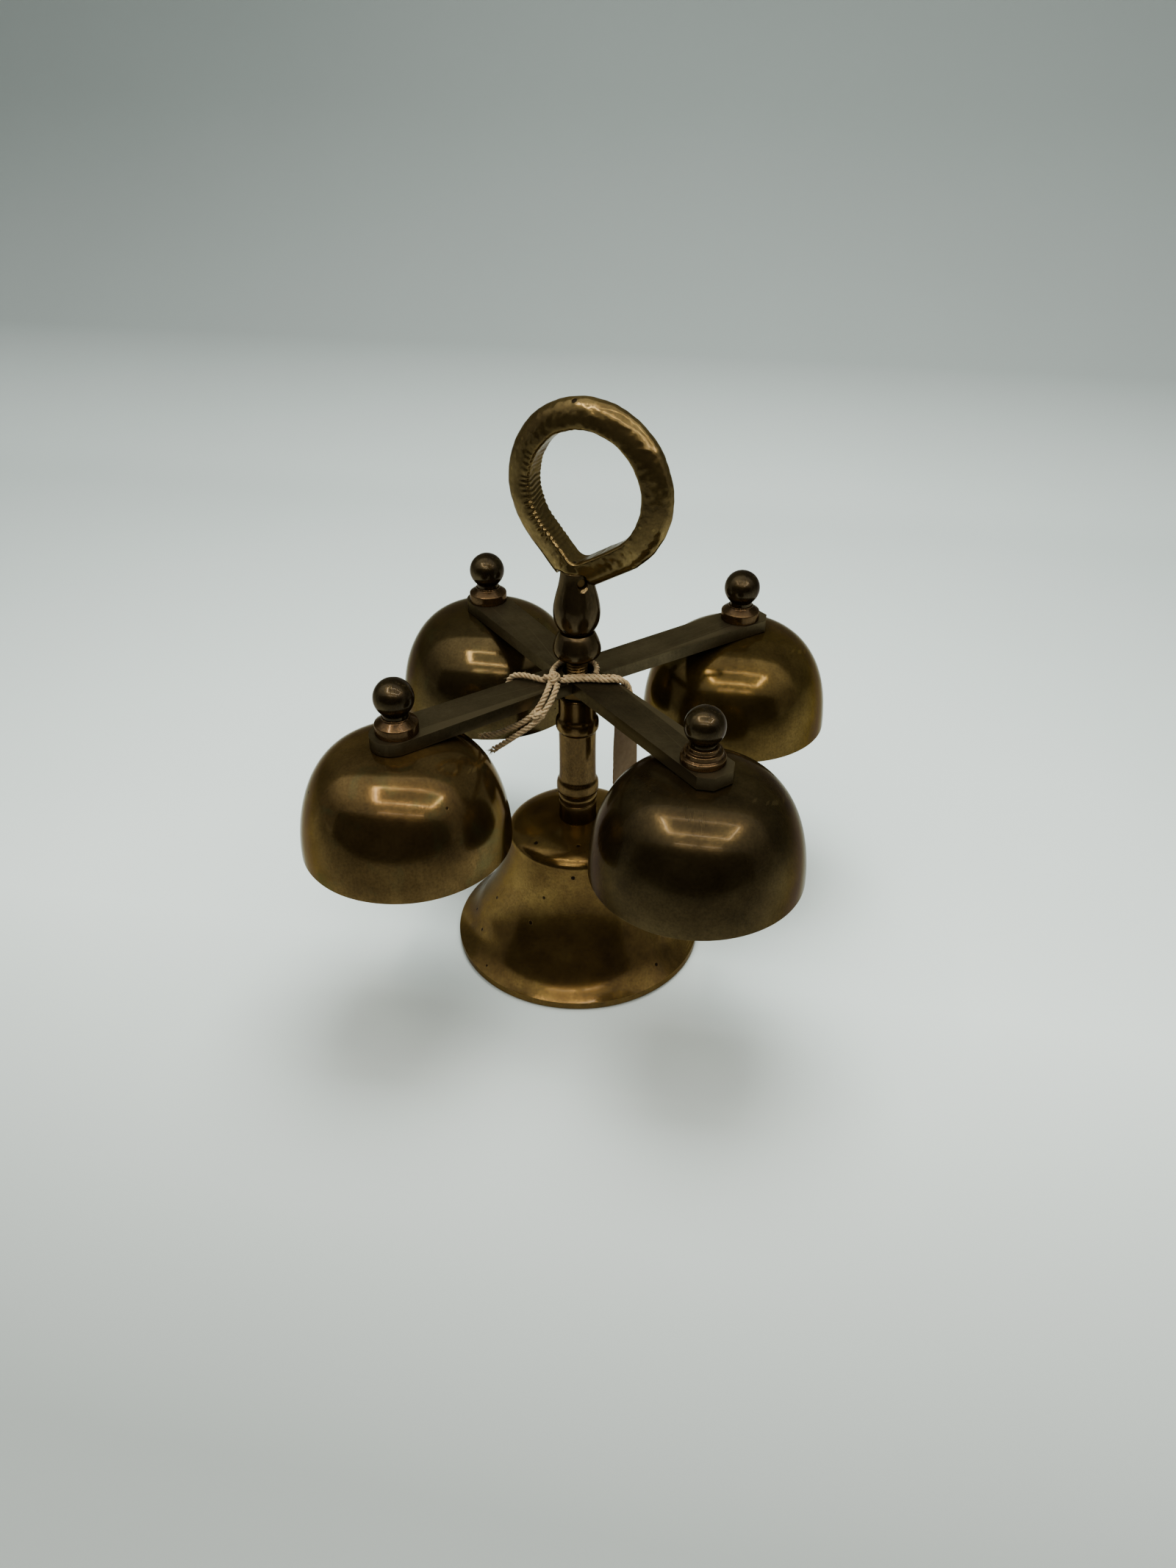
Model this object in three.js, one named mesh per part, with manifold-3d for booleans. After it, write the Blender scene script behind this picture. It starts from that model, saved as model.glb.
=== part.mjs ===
// Five-bell sanctus bell: a flared bell is the foot, a turned column stands on its crown, and a cross
// plate on the column's threaded rod carries four domed bells. A ring handle tops the rod.
// Millimetres, +Z up. The column's axis is worked out as X = Y = 0, and the last step of the file
// centres the whole object on its footprint.
import * as THREE from "three";
import { mergeVertices } from "three/addons/utils/BufferGeometryUtils.js";
import Module from "manifold-3d";

const wasm = await Module();
wasm.setup();

// ---- driving dimensions ----
const GAP = 0.3; // left where a soft or turned piece lies against its neighbour
const RUN = 0.1; // under and over a piece that turns on its seat
const ROD_R = 3.4;
const BORE_R = 3.5; // the hole in each piece threaded on the rod

const BASE_RIM_R = 42.8;
const BASE_LIP = 2.6;
const BASE_SHOULDER_R = 23.9;
const BASE_SHOULDER_Z = 43;
const BASE_CROWN_Z = 49.4;
const BASE_WALL = 2.2;

const SEAM_Z = 59.6; // between the column's foot and its shaft
const COLUMN_TOP_Z = 96.5;
const PLATE_Z = 101; // underside of the cross plate
const PLATE_T = 4;
const PLATE_TOP_Z = PLATE_Z + PLATE_T;
const BEAD_Z = 110;
const WAIST_Z = 118.6; // between the bead and the pear-shaped stem
const STEM_TOP_Z = 139;

const DOME_R = 32;
const DOME_H = 33.9;
const DOME_WALL = 1.8;
const DOME_FULLNESS = 3.4; // 2 would be an ellipse; more is a squarer shoulder
const DOME_CROWN_Z = PLATE_Z - RUN;
const STUD_R = 2.4;
const STUD_BORE_R = 2.55;
const COLLAR_H = 5.2;
const BALL_R = 5.9;
const BALL_Z = 116.1;

// Each arm's bearing from +X, its reach, and how its end and its collar are cut.
const ARMS = [
  { name: "front_right", bearing: -44.7, reach: 63.0, squareEnd: true, stepped: true },
  { name: "back_right", bearing: 45.2, reach: 66.3, squareEnd: true, stepped: false },
  { name: "back_left", bearing: 132.6, reach: 60.3, squareEnd: false, stepped: false },
  { name: "front_left", bearing: 226.7, reach: 63.3, squareEnd: false, stepped: false },
];
const ARM_WIDTH_HUB = 11.5;
const ARM_WIDTH_END = 13.5;
const HUB_R = 9;
const HUB_HOLE_R = 4.6;

const RING_R = 20.8; // of the handle's centre line
const RING_CENTRE_H = 27.1; // above the point of the teardrop
const RING_POINT_Z = 137.4;
const RING_FILLET = 6.4;
const RING_OUT = 5.2; // rounded outside of the section, from the centre line
const RING_IN = 3.2; // flat inside of the section
const RING_T = 8.4;
const RING_LEAN = 0.157; // radians, within the ring's own plane
const RING_TURN = -0.267; // radians, of the ring's plane from the XZ plane
const NECK_R = 4.8;
const TENON_R = 3.2;
const PIN_R = 1.5;
const PIN_Z = 136;
const PIN_BEARING = -57;

const LINK_R = 3; // a wire ring joins each clapper to its eye
const LINK_WIRE = 0.7;
const EYE_R = 1.25;
const EYE_TAB_R = 2.3;
const EYE_TAB_T = 1.6;
const TWINE_D = 1.6;

const rad = THREE.MathUtils.degToRad;

// ---- materials, one per slot ----
const metal = (color, roughness, metalness = 0.9) =>
  new THREE.MeshStandardMaterial({ color, roughness, metalness });
const MATERIALS = {
  bell_brass: metal(0x7d6432, 0.38),
  base_brass: metal(0x86602a, 0.35),
  turned_brass: metal(0x7a5f34, 0.4),
  cast_brass: metal(0x8a7536, 0.42),
  plate_bronze: metal(0x5d5240, 0.6),
  rod_brass: metal(0x5f4a2c, 0.5),
  twine: new THREE.MeshStandardMaterial({ color: 0xc2ab86, roughness: 0.95 }),
  card: new THREE.MeshStandardMaterial({ color: 0xa88a70, roughness: 0.9 }),
};

// ---- solids ----
function solid(geometry) {
  const bare = geometry.clone();
  bare.deleteAttribute("normal");
  bare.deleteAttribute("uv");
  const merged = mergeVertices(bare, 1e-4);
  const vertProperties = merged.attributes.position.array;
  const triVerts = new Uint32Array(merged.index.array);
  return new wasm.Manifold(new wasm.Mesh({ numProp: 3, vertProperties, triVerts }));
}

function geometryOf(shape) {
  const mesh = shape.getMesh();
  const geometry = new THREE.BufferGeometry();
  geometry.setAttribute("position", new THREE.BufferAttribute(mesh.vertProperties, 3));
  geometry.setIndex(new THREE.BufferAttribute(mesh.triVerts, 1));
  geometry.computeVertexNormals();
  return geometry;
}

const object = new THREE.Group();

function add(name, slot, geometry, parent = object) {
  const mesh = new THREE.Mesh(geometry, MATERIALS[slot]);
  mesh.name = name;
  parent.add(mesh);
  return mesh;
}

// A turned solid from [radius, height] points listed upwards on the outside.
function turned(outline, segments = 24) {
  const points = outline.map(([r, z]) => new THREE.Vector2(r, z));
  return new THREE.LatheGeometry(points, segments).rotateX(Math.PI / 2);
}

// A turned piece with a plain bore through it.
function turnedWithBore(outline, bore, segments = 24) {
  const bottom = outline[0][1];
  const top = outline[outline.length - 1][1];
  return turned([[bore, bottom], ...outline, [bore, top], [bore, bottom]], segments);
}

function rod(radius, low, high, segments = 12) {
  return turned([[0, low], [radius, low], [radius, high], [0, high]], segments);
}

function hexNut(cornerR, bore, low, high) {
  const body = solid(new THREE.CylinderGeometry(cornerR, cornerR, high - low, 6)
    .rotateX(Math.PI / 2).translate(0, 0, (low + high) / 2));
  return geometryOf(body.subtract(solid(rod(bore, low - 1, high + 1, 24))));
}

// A pin lying level through the axis at a height, pointing along a bearing.
function levelPin(radius, length, height, bearing, segments = 12) {
  return new THREE.CylinderGeometry(radius, radius, length, segments)
    .rotateZ(Math.PI / 2).rotateZ(rad(bearing)).translate(0, 0, height);
}

// A tube along points, with 8 sides.
function tube(points, diameter, stepLength = 2.5 * diameter) {
  const path = new THREE.CatmullRomCurve3(points.map((p) => new THREE.Vector3(...p)));
  const section = new THREE.Shape();
  section.absarc(0, 0, diameter / 2, 0, 2 * Math.PI);
  return new THREE.ExtrudeGeometry(section, {
    steps: Math.round(path.getLength() / stepLength),
    curveSegments: 4,
    extrudePath: path,
  });
}

// ---- bells ----
// Quarter of a superellipse from the rim (height 0) to the crown (height h), as [radius, height].
function domeOutline(r, h, count) {
  const outline = [];
  for (let i = 0; i <= count; i++) {
    const a = (i / count) * (Math.PI / 2);
    outline.push([r * Math.cos(a) ** (2 / DOME_FULLNESS), h * Math.sin(a)]);
  }
  return outline;
}

// The part of an outline outside a bore, ended on the bore's wall.
function stopAtBore(outline, bore) {
  const kept = outline.filter(([r]) => r > bore + 0.5);
  return [...kept, [bore, outline[outline.length - 1][1]]];
}

function domeBell() {
  const outer = stopAtBore(domeOutline(DOME_R, DOME_H, 9), STUD_BORE_R);
  const inner = stopAtBore(domeOutline(DOME_R - DOME_WALL, DOME_H - DOME_WALL, 8), STUD_BORE_R);
  return turned([...outer, ...inner.reverse(), outer[0]], 30);
}

// Radius of the base bell's outside at a height between its lip and its shoulder.
function baseFlare(z) {
  const t = (BASE_SHOULDER_Z - z) / (BASE_SHOULDER_Z - BASE_LIP);
  const slope = 4;
  return BASE_SHOULDER_R + slope * t + (BASE_RIM_R - BASE_SHOULDER_R - slope) * t ** 2.3;
}

function baseOutline(inset, steps) {
  const outline = [[BASE_RIM_R - inset, 0]];
  for (let i = 0; i <= steps; i++) {
    const z = BASE_LIP + (i / steps) ** 1.3 * (BASE_SHOULDER_Z - BASE_LIP);
    outline.push([baseFlare(z) - inset, z]);
  }
  for (let i = 1; i <= 5; i++) {
    const a = (i / 5) * (Math.PI / 2);
    const r = (BASE_SHOULDER_R - inset) * Math.cos(a) ** 0.84;
    const rise = BASE_CROWN_Z - inset - BASE_SHOULDER_Z;
    outline.push([r, BASE_SHOULDER_Z + rise * Math.sin(a) ** 0.84]);
  }
  return stopAtBore(outline, BORE_R);
}

function baseBell() {
  const outer = baseOutline(0, 8);
  const inner = baseOutline(BASE_WALL, 7);
  return turned([...outer, ...inner.reverse(), outer[0]], 36);
}

// ---- clappers ----
// A flat tab in the YZ plane, pierced along X, with its hole at a height and a stem on one side.
function eyeTab(holeZ, stemZ) {
  const disc = solid(new THREE.CylinderGeometry(EYE_TAB_R, EYE_TAB_R, EYE_TAB_T, 14)
    .rotateZ(Math.PI / 2).translate(0, 0, holeZ));
  const stem = solid(new THREE.BoxGeometry(EYE_TAB_T, 2 * EYE_TAB_R - 0.8, Math.abs(stemZ - holeZ))
    .translate(0, 0, (stemZ + holeZ) / 2));
  return disc.add(stem);
}

function pierced(shape, holeZ) {
  return shape.subtract(solid(levelPin(EYE_R, 4 * EYE_TAB_T, holeZ, 0)));
}

function wireLink(topZ) {
  return new THREE.TorusGeometry(LINK_R, LINK_WIRE, 5, 16)
    .rotateX(Math.PI / 2).translate(0, 0, topZ - LINK_R);
}

function clapper(holeZ, ballZ, ballR) {
  const shankTop = holeZ - EYE_TAB_R - 0.6;
  const outline = [[0, ballZ - ballR]];
  for (let i = 1; i < 8; i++) {
    const a = -Math.PI / 2 + (i / 8) * Math.PI * 0.94;
    outline.push([ballR * Math.cos(a), ballZ + ballR * Math.sin(a)]);
  }
  outline.push([1.3, ballZ + ballR + 0.4], [1.3, shankTop + 0.8], [0, shankTop + 0.8]);
  return geometryOf(pierced(eyeTab(holeZ, shankTop).add(solid(turned(outline, 12))), holeZ));
}

// ---- base, column and handle stem ----
const BASE_EYE_Z = 36;
const BASE_NUT_TOP = BASE_CROWN_Z - BASE_WALL - 2 * GAP;
const BASE_NUT_BOTTOM = BASE_NUT_TOP - 5;

function centreRod() {
  const low = BASE_NUT_BOTTOM - 2;
  const high = WAIST_Z + 8.4;
  const outline = [[0, low], [ROD_R, low], [ROD_R, PLATE_Z + 1]];
  const pitch = 1;
  for (let z = PLATE_Z + 1.5; z < BEAD_Z - 0.5; z += pitch) {
    outline.push([ROD_R - 0.45, z], [ROD_R, z + pitch / 2]);
  }
  outline.push([ROD_R, high], [0, high]);
  return geometryOf(pierced(solid(turned(outline, 16)).add(eyeTab(BASE_EYE_Z, low)), BASE_EYE_Z));
}

function buildBase() {
  add("base_bell", "base_brass", baseBell());
  add("base_nut", "rod_brass", hexNut(6.4, BORE_R, BASE_NUT_BOTTOM, BASE_NUT_TOP));
  add("centre_rod", "rod_brass", centreRod());
  add("clapper_link_centre", "rod_brass", wireLink(BASE_EYE_Z));
  add("clapper_centre", "rod_brass", clapper(BASE_EYE_Z - 2 * LINK_R, 15, 7));
}

function buildColumn() {
  add("column_foot", "turned_brass", turnedWithBore([
    [6.35, BASE_CROWN_Z], [6.25, 50.6], [6.25, 55.9], [5.95, 56.3], [6.25, 56.7],
    [6.3, 58.6], [5.9, SEAM_Z],
  ], BORE_R));
  add("column", "turned_brass", turnedWithBore([
    [6, SEAM_Z], [6.8, 60.4], [7, 62.2], [6.8, 64], [6.25, 65.8], [6.1, 67],
    [6.1, 81.8], [6.3, 83], [6.85, 84.5], [7, 86], [6.85, 87.5], [6.3, 89], [6.05, 90],
    [6.05, 96], [5.6, COLUMN_TOP_Z],
  ], BORE_R));
  add("lock_nut", "rod_brass", hexNut(5.6, BORE_R, COLUMN_TOP_Z, PLATE_Z - 1));
  add("hub_washer", "rod_brass",
    turnedWithBore([[6.2, PLATE_Z - 1], [6.2, PLATE_Z - RUN]], BORE_R, 24));
}

function buildStem() {
  add("bead_nut", "turned_brass", turnedWithBore([
    [5.6, BEAD_Z], [6.9, 110.8], [7.5, 112.2], [7.4, 113.8], [6.8, 115.8], [6, 117.6],
    [5.4, WAIST_Z],
  ], BORE_R));
  const pear = solid(turned([
    [0, 129.5], [TENON_R + 0.1, 129.5], [TENON_R + 0.1, STEM_TOP_Z], [4.8, STEM_TOP_Z],
    [5.1, 136.4], [5.7, 133.4], [6.5, 130.4], [7.1, 127.4], [7.25, 124.6], [6.9, 122.2],
    [6, 120.2], [5, 119], [4.4, WAIST_Z], [BORE_R, WAIST_Z], [BORE_R, 127.6], [0, 127.6],
  ].reverse(), 24));
  const crossHole = solid(levelPin(PIN_R + 0.15, 30, PIN_Z, PIN_BEARING));
  add("handle_stem", "turned_brass", geometryOf(pear.subtract(crossHole)));
  add("handle_pin", "rod_brass", levelPin(PIN_R, 7.6, PIN_Z, PIN_BEARING));
}

// ---- ring handle ----
// The centre line is a circle drawn down to a rounded point, as [across, up] from that point.
function ringPath() {
  const arcEnd = Math.acos(RING_R / RING_CENTRE_H);
  const halfPoint = Math.asin(RING_R / RING_CENTRE_H);
  const path = [];
  const arcSteps = 24;
  for (let i = 0; i <= arcSteps; i++) {
    const a = -Math.PI / 2 + arcEnd + (i / arcSteps) * (2 * Math.PI - 2 * arcEnd);
    path.push([RING_R * Math.cos(a), RING_CENTRE_H + RING_R * Math.sin(a)]);
  }
  const filletUp = RING_FILLET / Math.sin(halfPoint);
  const sweep = Math.PI / 2 - halfPoint;
  const filletSteps = 5;
  for (let i = 0; i <= filletSteps; i++) {
    const a = -Math.PI / 2 - sweep + (i / filletSteps) * 2 * sweep;
    path.push([RING_FILLET * Math.cos(a), filletUp + RING_FILLET * Math.sin(a)]);
  }
  return path;
}

function ringSection() {
  const section = [];
  const steps = 8;
  for (let i = 0; i <= steps; i++) {
    const a = -Math.PI / 2 + (i / steps) * Math.PI;
    const out = (RING_OUT + RING_IN - 0.6) * Math.max(0, Math.cos(a)) ** 0.9 - RING_IN + 0.6;
    section.push([out, (RING_T / 2) * Math.sin(a)]);
  }
  const bevel = RING_T / 2 - 0.8;
  section.push([-RING_IN, bevel], [-RING_IN, -bevel]);
  return section;
}

// The section swept round the closed path in the XZ plane.
function ringSweep() {
  const path = ringPath();
  const section = ringSection();
  const n = path.length;
  const m = section.length;
  const vertices = [];
  path.forEach(([x, z], i) => {
    const [x0, z0] = path[(i + n - 1) % n];
    const [x1, z1] = path[(i + 1) % n];
    const length = Math.hypot(x1 - x0, z1 - z0);
    const out = [(z1 - z0) / length, -(x1 - x0) / length];
    section.forEach(([w, y]) => vertices.push(x + out[0] * w, y, z + out[1] * w));
  });
  const index = [];
  for (let i = 0; i < n; i++) {
    for (let j = 0; j < m; j++) {
      const a = i * m + j;
      const b = i * m + ((j + 1) % m);
      const c = ((i + 1) % n) * m + j;
      const d = ((i + 1) % n) * m + ((j + 1) % m);
      index.push(a, b, c, b, d, c);
    }
  }
  const geometry = new THREE.BufferGeometry();
  geometry.setAttribute("position", new THREE.Float32BufferAttribute(vertices, 3));
  geometry.setIndex(index);
  return geometry;
}

function buildRing() {
  const loop = solid(ringSweep().rotateY(RING_LEAN).rotateZ(RING_TURN)
    .translate(0, 0, RING_POINT_Z));
  const stemRoom = solid(rod(5.9, 100, STEM_TOP_Z, 24));
  const neck = solid(turned([
    [0, 130], [TENON_R, 130], [TENON_R, STEM_TOP_Z], [NECK_R, STEM_TOP_Z],
    [NECK_R - 0.2, 140.4], [4.1, 142.2], [0, 142.2],
  ], 24));
  const pinHole = solid(levelPin(PIN_R + 0.15, 12, PIN_Z, PIN_BEARING));
  const handle = loop.subtract(stemRoom).add(neck).subtract(pinHole);
  add("ring_handle", "cast_brass", geometryOf(handle));
}

// ---- cross plate and its four bells ----
function armShape({ bearing, reach, squareEnd }) {
  const hubHalf = ARM_WIDTH_HUB / 2;
  const endHalf = ARM_WIDTH_END / 2;
  const shape = new THREE.Shape();
  shape.moveTo(0, -hubHalf);
  shape.lineTo(reach, -endHalf);
  if (squareEnd) {
    const cut = 3.4;
    shape.lineTo(reach + endHalf - cut + 2.4, -endHalf);
    shape.lineTo(reach + endHalf + 2.4, -endHalf + cut);
    shape.lineTo(reach + endHalf + 2.4, endHalf - cut);
    shape.lineTo(reach + endHalf - cut + 2.4, endHalf);
  } else {
    shape.absarc(reach + 1.6, 0, endHalf, -Math.PI / 2, Math.PI / 2, false);
  }
  shape.lineTo(reach, endHalf);
  shape.lineTo(0, hubHalf);
  const blank = new THREE.ExtrudeGeometry(shape, {
    depth: PLATE_T, bevelEnabled: false, curveSegments: 12,
  });
  return solid(blank.rotateZ(rad(bearing)).translate(0, 0, PLATE_Z));
}

function armTip({ bearing, reach }) {
  return [reach * Math.cos(rad(bearing)), reach * Math.sin(rad(bearing))];
}

function crossPlate() {
  const hub = new THREE.CylinderGeometry(HUB_R, HUB_R, PLATE_T, 8)
    .rotateX(Math.PI / 2).rotateZ(Math.PI / 8).translate(0, 0, PLATE_Z + PLATE_T / 2);
  let plate = solid(hub);
  for (const arm of ARMS) plate = plate.add(armShape(arm));
  plate = plate.subtract(solid(rod(HUB_HOLE_R, PLATE_Z - 1, PLATE_TOP_Z + 1, 24)));
  for (const arm of ARMS) {
    const [x, y] = armTip(arm);
    const hole = rod(STUD_BORE_R, PLATE_Z - 1, PLATE_TOP_Z + 1);
    plate = plate.subtract(solid(hole.translate(x, y, 0)));
  }
  return geometryOf(plate);
}

const DOME_NUT_TOP = DOME_CROWN_Z - DOME_WALL - GAP;
const DOME_NUT_BOTTOM = DOME_NUT_TOP - 3;
const DOME_EYE_Z = DOME_NUT_BOTTOM - 3.4;

function stud() {
  const low = DOME_NUT_BOTTOM - 0.8;
  const shank = solid(rod(STUD_R, low, BALL_Z - 1));
  return geometryOf(pierced(shank.add(eyeTab(DOME_EYE_Z, low)), DOME_EYE_Z));
}

function collar(stepped) {
  const base = PLATE_TOP_Z;
  const outline = stepped
    ? [[6.5, base], [6.5, base + 1.9], [5.6, base + 2.3], [5.6, base + 3.7], [4.5, base + 4],
      [4.5, base + COLLAR_H]]
    : [[6.4, base], [6.4, base + 3.1], [4.1, base + 4.7], [4.1, base + COLLAR_H]];
  return turnedWithBore(outline, STUD_BORE_R, 20);
}

// A ball finial: a blind bore from below, a short neck, then the ball.
function ballFinial() {
  const bottom = PLATE_TOP_Z + COLLAR_H;
  const boreTop = BALL_Z - 0.9;
  const outline = [[0, boreTop], [STUD_BORE_R, boreTop], [STUD_BORE_R, bottom], [3.7, bottom]];
  const steps = 8;
  const start = -0.86;
  for (let i = 0; i <= steps; i++) {
    const a = start + (i / steps) * (Math.PI / 2 - start);
    outline.push([Math.max(0, BALL_R * Math.cos(a)), BALL_Z + BALL_R * Math.sin(a)]);
  }
  outline[outline.length - 1][0] = 0;
  return turned(outline, 16);
}

function buildArm(arm) {
  const place = new THREE.Group();
  const [x, y] = armTip(arm);
  place.position.set(x, y, 0);
  object.add(place);
  const { name } = arm;
  const dome = add(`dome_bell_${name}`, "bell_brass", domeBell(), place);
  dome.position.z = DOME_CROWN_Z - DOME_H;
  add(`stud_${name}`, "rod_brass", stud(), place);
  add(`dome_nut_${name}`, "rod_brass",
    hexNut(5, STUD_BORE_R, DOME_NUT_BOTTOM, DOME_NUT_TOP), place);
  add(`collar_${name}`, "turned_brass", collar(arm.stepped), place);
  add(`ball_finial_${name}`, "turned_brass", ballFinial(), place);
  add(`clapper_link_${name}`, "rod_brass", wireLink(DOME_EYE_Z), place);
  add(`clapper_${name}`, "rod_brass",
    clapper(DOME_EYE_Z - 2 * LINK_R, DOME_CROWN_Z - DOME_H + 0.5, 6), place);
}

// ---- twine and its tag ----
const TWINE_Z = PLATE_TOP_Z + TWINE_D / 2 + GAP;
const KNOT = [-5.7, -10.1, TWINE_Z + 0.8];
const KNOT_R = 2.1;

// Centre lines, outwards from the knot: the loop that holds the tag, the turn round the rod, the end
// that hangs over the back edge of an arm, and the two tails over its front edge.
const TWINE_LOOP = [
  [-3.2, -9.6, TWINE_Z], [0, -8.5, TWINE_Z], [3.3, -7.55, TWINE_Z], [6.7, -7, TWINE_Z],
  [10.4, -6.65, TWINE_Z], [13.8, -6.1, TWINE_Z + 0.1], [16.4, -5.4, TWINE_Z - 1],
  [17.6, -5.2, TWINE_Z - 3.6], [17.8, -5.6, 100.6], [18.3, -6.35, 98.6], [19.1, -7.08, 96],
  [18.5, -6.5, 93.4], [16.61, -4.62, 92.2], [14.75, -2.75, 93.4], [14.1, -2.15, 96],
  [14.9, -2.9, 98.6], [15.5, -3.6, 100.6], [16, -3.7, TWINE_Z - 3.6],
  [14.9, -3.95, TWINE_Z - 1], [12.4, -4.6, TWINE_Z + 0.1], [9.9, -4.95, TWINE_Z],
  [6.7, -5.25, TWINE_Z], [3.4, -5.8, TWINE_Z], [0.3, -6.75, TWINE_Z], [-2.6, -7.75, TWINE_Z],
];
const TWINE_TURN = [
  [-6.6, -7.4, TWINE_Z], [-6.9, -4.4, TWINE_Z], [-6.6, -1, TWINE_Z], [-5.4, 2.2, TWINE_Z],
  [-3.2, 4.6, TWINE_Z], [-0.2, 5.6, TWINE_Z], [2.9, 4.9, TWINE_Z], [5.1, 2.8, TWINE_Z],
  [6.3, 0, TWINE_Z], [6.6, -3.1, TWINE_Z],
];
const TWINE_END = [
  [-8.4, -10.4, TWINE_Z], [-10.7, -9.9, TWINE_Z + 0.2], [-13.3, -9.4, TWINE_Z + 0.3],
  [-16.1, -9, TWINE_Z + 0.2], [-18.8, -8.5, TWINE_Z - 0.9], [-20.2, -8.3, TWINE_Z - 3.4],
  [-20.4, -8.3, 99.9], [-20.3, -8.4, 97.1],
];
const TWINE_TAIL_LONG = [
  [-5.9, -12.6, TWINE_Z], [-5.75, -14.3, TWINE_Z], [-5.9, -16, TWINE_Z - 0.4],
  [-6.3, -17.5, TWINE_Z - 1.5], [-7, -18.8, TWINE_Z - 2.9], [-7.8, -19.9, 101.8],
  [-8.9, -20.9, 100.4], [-10.4, -21.6, 99], [-12.3, -21.9, 97.4], [-14.4, -21.8, 95.9],
  [-16.6, -21.5, 94.4], [-18.9, -21.2, 92.9], [-21.1, -20.9, 91.7], [-23.3, -20.7, 90.8],
  [-25.4, -20.6, 90.2],
];
const TWINE_TAIL_SHORT = [
  [-3.6, -12.2, TWINE_Z], [-3.4, -13.9, TWINE_Z], [-3.5, -15.6, TWINE_Z - 0.5],
  [-3.9, -17.1, TWINE_Z - 1.6], [-4.6, -18.5, TWINE_Z - 3.1], [-5.5, -19.9, 101.5],
  [-6.6, -21.3, 99.9], [-8, -22.4, 98.4], [-9.9, -23.1, 96.8], [-11.9, -23.4, 95.2],
  [-14, -23.5, 93.5], [-16.2, -23.3, 91.6], [-18.3, -22.9, 89.7], [-20.4, -22.5, 87.9],
  [-22.4, -22.1, 86.2],
];
const TAG = { width: 11, height: 27, thickness: 0.6, top: 94.8, x: 16.61, y: -4.62, turn: 1.01 };

function buildTwine() {
  const knot = new THREE.IcosahedronGeometry(KNOT_R, 1).scale(1, 1, 0.8).translate(...KNOT);
  add("twine_knot", "twine", knot);
  add("twine_loop", "twine", tube(TWINE_LOOP, TWINE_D));
  add("twine_turn", "twine", tube(TWINE_TURN, TWINE_D));
  add("twine_end", "twine", tube(TWINE_END, TWINE_D));
  add("twine_tail_long", "twine", tube(TWINE_TAIL_LONG, TWINE_D));
  add("twine_tail_short", "twine", tube(TWINE_TAIL_SHORT, TWINE_D));
}

function buildTag() {
  const { width, height, thickness, top, x, y, turn } = TAG;
  const cut = 3;
  const outline = new THREE.Shape([
    [-width / 2, -height], [width / 2, -height], [width / 2, -cut], [width / 2 - cut, 0],
    [-width / 2 + cut, 0], [-width / 2, -cut],
  ].map(([u, v]) => new THREE.Vector2(u, v)));
  const hole = new THREE.Path();
  hole.absarc(0, -2.5, 1.6, 0, 2 * Math.PI, true);
  outline.holes.push(hole);
  const card = new THREE.ExtrudeGeometry(outline, {
    depth: thickness, bevelEnabled: false, curveSegments: 10,
  });
  card.translate(0, 0, -thickness / 2).rotateX(Math.PI / 2).rotateZ(turn).translate(x, y, top);
  add("tag", "card", card);
}

buildBase();
buildColumn();
buildStem();
buildRing();
add("cross_plate", "plate_bronze", crossPlate());
ARMS.forEach(buildArm);
buildTwine();
buildTag();

// The twine and its tag hang inside the footprint, so the box of the whole object is that of its metal.
const box = new THREE.Box3().setFromObject(object);
object.position.set(-(box.min.x + box.max.x) / 2, -(box.min.y + box.max.y) / 2, 0);

export default object;
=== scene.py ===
"""Looks for the five-bell sanctus bell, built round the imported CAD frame. Blender 4.5."""

import math
import random

import bmesh
import bpy
from mathutils import Matrix, Vector, noise


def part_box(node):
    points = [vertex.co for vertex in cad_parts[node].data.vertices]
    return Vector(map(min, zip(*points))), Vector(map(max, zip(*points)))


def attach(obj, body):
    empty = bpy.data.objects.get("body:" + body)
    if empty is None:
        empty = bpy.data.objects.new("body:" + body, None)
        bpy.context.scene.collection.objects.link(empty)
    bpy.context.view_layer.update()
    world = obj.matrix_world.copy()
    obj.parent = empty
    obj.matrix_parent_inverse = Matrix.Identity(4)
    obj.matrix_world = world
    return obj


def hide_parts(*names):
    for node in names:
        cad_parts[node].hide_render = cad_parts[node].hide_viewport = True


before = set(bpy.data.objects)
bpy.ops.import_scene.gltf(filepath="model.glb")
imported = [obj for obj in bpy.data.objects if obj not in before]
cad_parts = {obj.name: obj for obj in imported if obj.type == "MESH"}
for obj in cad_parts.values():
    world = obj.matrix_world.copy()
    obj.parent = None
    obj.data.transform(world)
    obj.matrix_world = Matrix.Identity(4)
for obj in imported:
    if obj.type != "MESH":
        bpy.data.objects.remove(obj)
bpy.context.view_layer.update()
MM = 0.001
rng = random.Random(20)
base_low, base_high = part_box("base_bell")
AXIS_X = (base_low[0] + base_high[0]) / 2
AXIS_Y = (base_low[1] + base_high[1]) / 2
AXIS = (AXIS_X / MM, AXIS_Y / MM)

# ---------------------------------------------------------------- camera
scene = bpy.context.scene
CAMERA_AT = Vector((0.065257, -0.319897, 0.281932))
CAMERA_TO = Vector((-0.001652, -0.000488, 0.0618))
CAMERA_YAW = 0.0087
CAMERA_LENS = 27.04


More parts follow.
